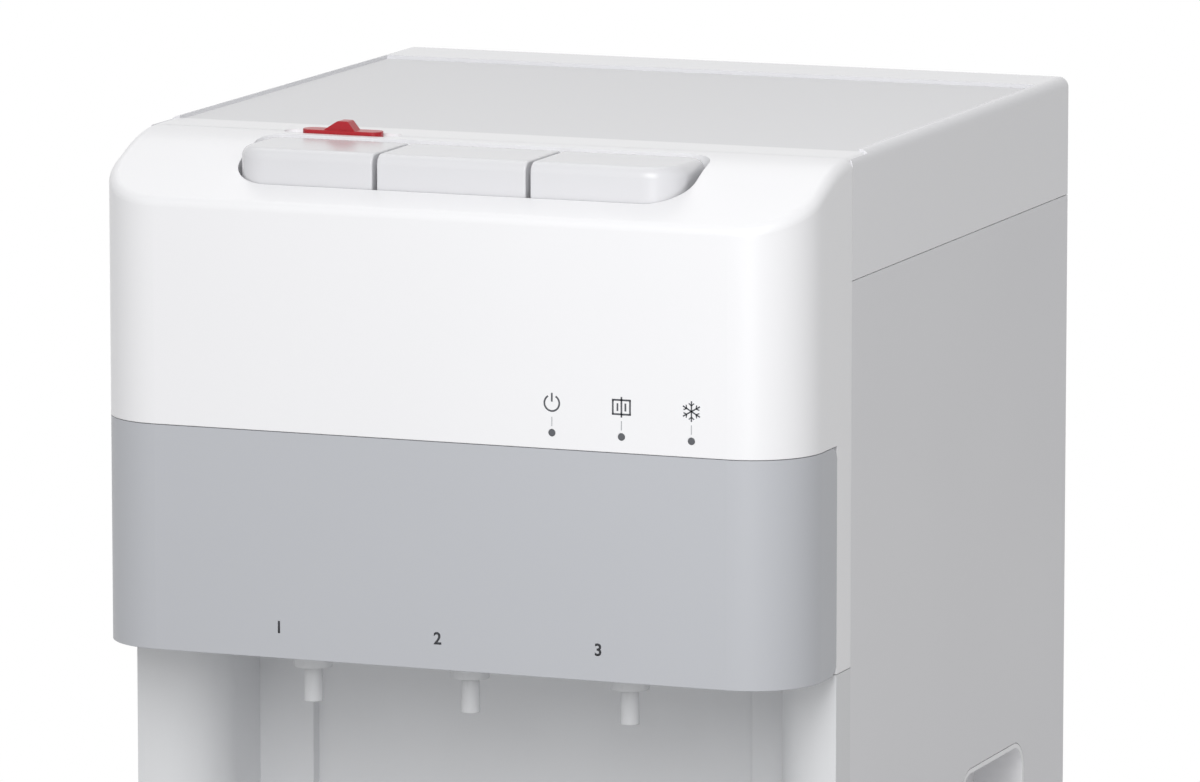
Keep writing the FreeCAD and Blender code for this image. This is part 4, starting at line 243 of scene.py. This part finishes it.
# %% Plastics
FINISHES = {
    # White ABS from an etched mould: a soft sheen that rounds off into every edge.
    "white_abs": finish("white_moulded_abs", ("#EFEFF1", "#F1F1F3"), (0.26, 0.34), 0.9, 0.008),
    # The buttons come from a smoother mould, so glossier; their greyer tone is painted recess
    # shade.
    "button_abs": finish("white_button_abs_painted_shade", ("#DBDBDE", "#DEDEE1"), (0.20, 0.28), 0.9, 0.006),
    # ABS dyed a cool grey, from a more deeply etched mould: duller than the white.
    "grey_abs": finish("grey_moulded_abs", ("#B9BBC0", "#BBBDC2"), (0.36, 0.44), 0.9, 0.010),
    # Paler ABS for the niche, with the same etching, so that it stays calm behind the taps.
    "niche_grey": finish("pale_grey_moulded_abs", ("#DCDDDF", "#DEDFE1"), (0.36, 0.44), 0.9,
                         0.010),
    # ABS dyed through: a deep red with a soft sheen for the child lock and the hot switch.
    "red_abs": finish("red_moulded_abs", ("#A81220", "#B21523"), (0.30, 0.38), 0.7, 0.008),
    # The same in blue for the cold switch and the drain cap.
    "blue_abs": finish("blue_moulded_abs", ("#1E4E9E", "#2356A8"), (0.30, 0.38), 0.7, 0.008),
    # Polypropylene is waxier than ABS: a dull, slightly grey white with rounder edges.
    "tap_plastic": finish("food_grade_polypropylene", ("#D9DADC", "#DDDEE0"), (0.38, 0.48), 0.6,
                          0.010, edge_mm=0.5),
    # Undyed polypropylene: faintly green grey, and waxy.
    "natural_plastic": finish("natural_polypropylene", ("#D6D8D2", "#DEE0DA"), (0.40, 0.52), 0.8,
                              0.015),
    # Glass-filled nylon: charcoal, and a little rough.
    "dark_plastic": finish("dark_moulded_nylon", ("#3A3B3E", "#424346"), (0.42, 0.54), 0.5,
                           0.015),
    # The magnet's case: nearly black, with a coarse dull skin.
    "magnet_black": finish("black_magnet_case", ("#1C1C1E", "#242426"), (0.45, 0.60), 0.5, 0.020),
    # Smoked light pipes, polished: dark dots with a small clear highlight.
    "clear_plastic": finish("smoked_light_pipe", ("#55575C", "#5B5D62"), (0.12, 0.20), 0.6, 0.004,
                            edge_mm=0.3),
}
print("plastics:", len(FINISHES))

# %% [markdown]
# ### Rubber, silicone and foam
# Feet and mounts are moulded rubber, nearly black and dull. The hoses are extruded silicone.
# The tank's jacket of expanded foam shows its beads, which are about 3 mm across.

# %% Soft materials
FINISHES.update({
    # Moulded rubber: nearly black, and it hardly shines.
    "black_rubber": finish("moulded_rubber", ("#18181A", "#222224"), (0.65, 0.80), 0.6, 0.03),
    # Extruded silicone: milky, with the slow waves that the die leaves.
    "silicone": finish("extruded_silicone", ("#D4D9D9", "#DEE3E3"), (0.35, 0.45), 1.5, 0.01),
    # Expanded foam: off-white, matt and pebbled.
    "foam": finish("expanded_foam_beads", ("#E4E4DF", "#F0F0EC"), (0.75, 0.90), 3.0, 0.25),
})
print("with the soft materials:", len(FINISHES))

# %% [markdown]
# ### Metals
# The sides and the cover are sheet steel with a baked powder coat, whose spray leaves an orange
# peel of about 2 mm. The rear panel and the decks are zinc plated, and the pipes are copper. A
# coated or enamelled sheet looks like its coating, so only bare metal gets a metallic shader.

# %% Metals
FINISHES.update({
    # Powder-coated sheet: white, satin, with orange peel.
    "white_steel": finish("powder_coated_steel", ("#E3E3E6", "#E5E5E8"), (0.36, 0.46), 2.0,
                          0.012),
    # Enamelled steel: black, with a firm sheen.
    "black_steel": finish("black_enamelled_steel", ("#101012", "#18181A"), (0.28, 0.40), 1.5,
                          0.02),
    # Zinc plating: pale blue-grey metal whose gloss is cloudy.
    "zinc_steel": finish("zinc_plated_steel", ("#A8ABAE", "#B9BCBF"), (0.30, 0.46), 1.2, 0.006,
                         Metallic=1.0),
    # Drawn stainless steel: neutral, and the brightest of the metals.
    "stainless": finish("drawn_stainless_steel", ("#B4B4B2", "#C4C4C2"), (0.22, 0.34), 0.8, 0.006,
                        Metallic=1.0),
    # Drawn copper: warm brown-pink, a little tarnished.
    "copper": finish("drawn_copper", ("#B0694A", "#C07A58"), (0.25, 0.40), 0.8, 0.006,
                     Metallic=1.0),
    # The heater's band of bare steel over mica: dull from the heat.
    "mica_band": finish("clamped_heater_band", ("#8F8E88", "#A3A29B"), (0.35, 0.50), 1.0, 0.02,
                        Metallic=1.0),
    # Solder mask: a glossy green lacquer over the circuit boards.
    "circuit_board": finish("green_solder_mask", ("#1D5A35", "#23673D"), (0.25, 0.40), 1.2, 0.02),
})
print("with the metals:", len(FINISHES))

# %% [markdown]
# ### The top cover
# The cover has a smooth glossy rim around a field that is embossed with a fine matt grain, so
# the rim mirrors the bright studio at this low angle and the field doesn't. The field is a plain
# box in the cover's own coordinates, and a mask of three ranges picks it out.

# %% A material with two finishes
def two_finishes(name, first, second, inside):
    """The second finish where the mask that inside builds is 1, and the first elsewhere."""
    material = empty_material(name)
    tree = material.node_tree
    place = add(tree, "ShaderNodeTexCoord").outputs["Object"]
    surfaces = []
    for tone, roughness, grain_mm, depth_mm in (first, second):
        grain = add(tree, "ShaderNodeTexNoise", {"Vector": place}, Scale=1 / (grain_mm * MM),
                    Detail=2.0)
        bump = add(tree, "ShaderNodeBump", {"Height": grain.outputs["Fac"]}, Strength=1.0,
                   Distance=depth_mm * MM)
        surface = add(tree, "ShaderNodeBsdfPrincipled", {"Normal": bump.outputs["Normal"]},
                      Roughness=roughness)
        surface.inputs["Base Color"].default_value = linear(tone)
        surfaces.append(surface.outputs[0])
    blend = add(tree, "ShaderNodeMixShader", {0: inside(tree, place), 1: surfaces[0],
                                              2: surfaces[1]})
    add(tree, "ShaderNodeOutputMaterial", {"Surface": blend.outputs[0]})
    return material


def in_range(tree, source, limits):
    """1 where a value lies between two limits."""
    low, high = limits
    middle = add(tree, "ShaderNodeMath", {0: source}, operation="SUBTRACT")
    middle.inputs[1].default_value = (low + high) / 2
    size = add(tree, "ShaderNodeMath", {0: middle.outputs[0]}, operation="ABSOLUTE")
    near = add(tree, "ShaderNodeMath", {0: size.outputs[0]}, operation="LESS_THAN")
    near.inputs[1].default_value = (high - low) / 2
    return near.outputs[0]


# %% The cover's rim and field
FIELD_X = (-0.1504, 0.1504)
FIELD_Y = (-0.094, 0.133)
FIELD_Z = (1.036, 1.0402)


def on_field(tree, place):
    """1 on the field of the cover, which is a box in metres between its rims."""
    along = add(tree, "ShaderNodeSeparateXYZ", {"Vector": place})
    sides = in_range(tree, along.outputs["X"], FIELD_X)
    depth = in_range(tree, along.outputs["Y"], FIELD_Y)
    height = in_range(tree, along.outputs["Z"], FIELD_Z)
    both = add(tree, "ShaderNodeMath", {0: sides, 1: depth}, operation="MULTIPLY")
    return add(tree, "ShaderNodeMath", {0: both.outputs[0], 1: height},
               operation="MULTIPLY").outputs[0]


# Each finish is its tone, its roughness, and its grain's size and depth in millimetres.
SMOOTH_RIM = ("#E6E6E9", 0.20, 1.2, 0.003)
MATT_FIELD = ("#E3E3E5", 0.50, 0.9, 0.020)
cover_steel = two_finishes("embossed_cover_steel", SMOOTH_RIM, MATT_FIELD, on_field)
print("cover: field", round((FIELD_Y[1] - FIELD_Y[0]) / MM), "mm deep")

# %% Give every part the finish of its slot
for part in frame["record"]["subparts"]:
    mesh = frame["nodes"][part["node"]].data
    mesh.materials.clear()
    mesh.materials.append(FINISHES[part["material_slot"]])
# The buttons take the greyer white, whose darker tone is painted shade from their recess.
for name in ("hot_button", "warm_button", "cold_button"):
    frame["nodes"][name].data.materials[0] = FINISHES["button_abs"]
frame["nodes"]["top_cover"].data.materials[0] = cover_steel

# %% [markdown]
# ## Printed marks
# The marks on the head are pad printed: a film of ink a few hundredths of a millimetre thick.
# Text and simple strokes are laid on the front and given that thickness. The numbers tell the
# three taps apart. The pictograms name the three indicators: power, heating and cooling.

# %% Helpers that finish a piece
def select_only(piece):
    """Leave edit mode, then select this piece alone."""
    if bpy.context.object and bpy.context.object.mode != "OBJECT":
        bpy.ops.object.mode_set(mode="OBJECT")
    bpy.ops.object.select_all(action="DESELECT")
    piece.select_set(True)
    bpy.context.view_layer.objects.active = piece


def settle(piece, name, material, body):
    """Apply a piece's modifiers and place, then give it its name, finish and body."""
    select_only(piece)
    for modifier in list(piece.modifiers):
        bpy.ops.object.modifier_apply(modifier=modifier.name)
    bpy.ops.object.transform_apply(location=True, rotation=True, scale=True)
    piece.name = piece.data.name = name
    piece.data.materials.clear()
    piece.data.materials.append(material)
    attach(piece, body)
    return piece


def join(pieces):
    """Make one mesh of several."""
    select_only(pieces[0])
    for piece in pieces[1:]:
        piece.select_set(True)
    bpy.ops.object.join()
    return bpy.context.object


# %% Ink
FRONT = -180.0           # the front face of head and band
INK_FILM = 0.05


def ink(name, tones):
    """Pad-printing ink: it covers well and dries matt, with a slightly uneven film."""
    return finish(name, tones, (0.50, 0.62), 0.3, 0.002)


def print_mark(piece, name, material):
    """Give a flat mark the thickness of ink, half of it in the surface, and settle it."""
    film = piece.modifiers.new("film", "SOLIDIFY")
    film.thickness = INK_FILM * MM
    film.offset = 0.0
    settle(piece, name, material, "cabinet")


DARK_INK = ink("dark_printing_ink", ("#4A4C52", "#53555B"))
PALE_INK = ink("pale_printing_ink", ("#B4B6BA", "#BCBEC2"))
print("inks: 2, film", INK_FILM, "mm")

# %% Numbers over the taps
TAPS = (("hot", -70.0), ("warm", 0.0), ("cold", 70.0))
NUMBER_Z = 843.6
NUMBER_SIZE = 7.0        # of the type, whose figures are about 5 mm tall
NUMBER_WEIGHT = 0.16     # added all round each figure, to make it bolder
for digit, (tap, x) in enumerate(TAPS, start=1):
    bpy.ops.object.select_all(action="DESELECT")
    bpy.ops.object.text_add(location=(x * MM, FRONT * MM, NUMBER_Z * MM),
                            rotation=(math.pi / 2, 0, 0))
    number = bpy.context.object
    number.data.body = str(digit)
    number.data.size = NUMBER_SIZE * MM
    number.data.offset = NUMBER_WEIGHT * MM
    number.data.align_x = "CENTER"
    number.data.align_y = "CENTER"
    bpy.ops.object.convert(target="MESH")
    print_mark(number, f"printed_number_{digit}", DARK_INK)
    print("number", digit, "over the", tap, "tap")

# %% [markdown]
# A pictogram is a few strokes and rings, joined. A stroke is a plane, stretched and turned. A
# ring is a circle extruded inwards, with the faces around its top taken away where it is open.

# %% A stroke and a ring to draw pictograms with
def stroke(start, end, width):
    """A straight stroke between two places on the front, given as (x, z) in millimetres."""
    run = (end[0] - start[0], end[1] - start[1])
    middle = ((start[0] + end[0]) / 2 * MM, FRONT * MM, (start[1] + end[1]) / 2 * MM)
    bpy.ops.mesh.primitive_plane_add(size=1, location=middle,
                                     rotation=(math.pi / 2, -math.atan2(run[1], run[0]), 0))
    mark = bpy.context.object
    mark.scale = (math.hypot(*run) * MM, width * MM, 1)
    return mark


def ring(x, z, radius, width, gap):
    """A flat ring on the front, open at its top by the half angle gap in degrees."""
    bpy.ops.mesh.primitive_circle_add(vertices=72, radius=radius * MM, fill_type="NOTHING",
                                      location=(x * MM, FRONT * MM, z * MM),
                                      rotation=(math.pi / 2, 0, 0))
    band = bpy.context.object
    bpy.ops.object.mode_set(mode="EDIT")
    bpy.ops.mesh.select_all(action="SELECT")
    bpy.ops.mesh.extrude_region_move()
    inner = 1 - width / radius
    bpy.ops.transform.resize(value=(inner, inner, inner))
    mesh = bmesh.from_edit_mesh(band.data)
    bpy.ops.mesh.select_all(action="DESELECT")
    bpy.ops.mesh.select_mode(type="FACE")
    for face in mesh.faces:
        middle = face.calc_center_median()
        face.select_set(abs(math.degrees(math.atan2(middle.x, middle.y))) < gap)
    bmesh.update_edit_mesh(band.data)
    bpy.ops.mesh.delete(type="FACE")
    bpy.ops.object.mode_set(mode="OBJECT")
    return band


# %% The power sign: an open ring with a stroke in its gap
POWER_X, HEAT_X, COOL_X = 50.0, 80.0, 110.0
ICON_Z = 943.6           # the middle of all three signs
LINE = 0.75              # the width of a stroke
SIGN_REACH = 4.2         # from the middle of a sign to its top
power = [ring(POWER_X, ICON_Z, 3.6, LINE, gap=28.0),
         stroke((POWER_X, ICON_Z + 0.6), (POWER_X, ICON_Z + SIGN_REACH), LINE)]
print("power sign:", len(power), "strokes")

# %% The heating sign: a box with three bars
SIDE_X = 3.7             # the box's sides from its middle
END_X, END_Z = 4.1, 2.9  # the ends of its top and bottom strokes
BARS = ((-1.7, 1.6), (0.0, SIGN_REACH), (1.7, 1.6))     # each bar's place and half length
heat = [stroke((HEAT_X + side * SIDE_X, ICON_Z - END_Z), (HEAT_X + side * SIDE_X, ICON_Z + END_Z),
               LINE) for side in (-1, 1)]
heat += [stroke((HEAT_X - END_X, ICON_Z + side * END_Z), (HEAT_X + END_X, ICON_Z + side * END_Z),
                LINE) for side in (-1, 1)]
heat += [stroke((HEAT_X + dx, ICON_Z - half), (HEAT_X + dx, ICON_Z + half), LINE)
         for dx, half in BARS]
print("heating sign:", len(heat), "strokes")

# %% The cooling sign: a snow crystal of six arms
ARM_LINE, BARB_LINE = 0.6, 0.5
BARB_AT, BARB = 2.3, 1.5         # from the middle to the barbs, and a barb's length
BARB_LEAN = 50
cool = []
for turn in range(6):
    angle = math.radians(90 + 60 * turn)
    out = (math.cos(angle), math.sin(angle))
    cool.append(stroke((COOL_X, ICON_Z),
                       (COOL_X + SIGN_REACH * out[0], ICON_Z + SIGN_REACH * out[1]), ARM_LINE))
    fork = (COOL_X + BARB_AT * out[0], ICON_Z + BARB_AT * out[1])
    for lean in (-BARB_LEAN, BARB_LEAN):
        tip = angle + math.radians(lean)
        cool.append(stroke(fork, (fork[0] + BARB * math.cos(tip), fork[1] + BARB * math.sin(tip)),
                           BARB_LINE))
print("cooling sign:", len(cool), "strokes")

# %% Print the signs, and a pale line from each down to its indicator
LEADER_TOP, LEADER_FOOT, LEADER_LINE = 5.6, 9.4, 0.4
for name, strokes in (("power", power), ("heating", heat), ("cooling", cool)):
    print_mark(join(strokes), f"printed_{name}_sign", DARK_INK)
leaders = join([stroke((x, ICON_Z - LEADER_TOP), (x, ICON_Z - LEADER_FOOT), LEADER_LINE)
                for x in (POWER_X, HEAT_X, COOL_X)])
print_mark(leaders, "printed_leader_lines", PALE_INK)
print("signs: 3, about", 2 * SIGN_REACH, "mm tall")

# %% [markdown]
# ## Return springs
# Each tap's valve is closed by a coil spring of 1.1 mm stainless wire around its push rod. A
# coil is one section of wire carried round an axis while it rises, which is what the Screw
# modifier does. The ends of such a spring are wound flat, so a closed turn is added at each end.

# %% Wind a spring
SPRING_Y, SPRING_FOOT, SPRING_LENGTH = -144.0, 884.2, 24.0
COIL, WIRE = 4.2, 0.55           # radius of the coil to the middle of the wire, and of the wire
ACTIVE_TURNS = 6
TURN_STEPS, WIRE_STEPS = 28, 10


def wind_spring(x):
    """One spring around the push rod at that x."""
    low, high = SPRING_FOOT + WIRE, SPRING_FOOT + SPRING_LENGTH - WIRE
    centre = (x * MM, SPRING_Y * MM, low * MM)
    bpy.ops.mesh.primitive_circle_add(vertices=WIRE_STEPS, radius=WIRE * MM, fill_type="NOTHING",
                                      location=centre, rotation=(math.pi / 2, 0, 0))
    coil = bpy.context.object
    bpy.ops.object.transform_apply(location=False, rotation=True, scale=False)
    bpy.ops.object.mode_set(mode="EDIT")
    bpy.ops.mesh.select_all(action="SELECT")
    bpy.ops.transform.translate(value=(COIL * MM, 0, 0))
    bpy.ops.object.mode_set(mode="OBJECT")
    turns = coil.modifiers.new("turns", "SCREW")
    turns.axis = "Z"
    turns.steps = turns.render_steps = TURN_STEPS
    turns.iterations = ACTIVE_TURNS
    turns.screw_offset = (high - low) * MM / ACTIVE_TURNS
    turns.use_merge_vertices = False
    bpy.ops.object.modifier_apply(modifier="turns")
    bpy.ops.object.mode_set(mode="EDIT")
    bpy.ops.mesh.select_all(action="SELECT")
    bpy.ops.mesh.fill_holes(sides=0)
    bpy.ops.mesh.normals_make_consistent(inside=False)
    bpy.ops.object.mode_set(mode="OBJECT")
    ends = []
    for z in (low, high):
        bpy.ops.mesh.primitive_torus_add(location=(x * MM, SPRING_Y * MM, z * MM),
                                         major_radius=COIL * MM, minor_radius=WIRE * MM,
                                         major_segments=TURN_STEPS, minor_segments=WIRE_STEPS)
        ends.append(bpy.context.object)
    whole = join([coil] + ends)
    bpy.ops.object.shade_smooth()
    return whole


# %% A spring for each tap, in place of the frame's spring
for tap, x in TAPS:
    spring = settle(wind_spring(x), f"{tap}_coil_spring", FINISHES["stainless"], "cabinet")
    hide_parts(f"{tap}_return_spring")
    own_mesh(spring)
print("springs:", len(TAPS), "of", ACTIVE_TURNS, "active turns")
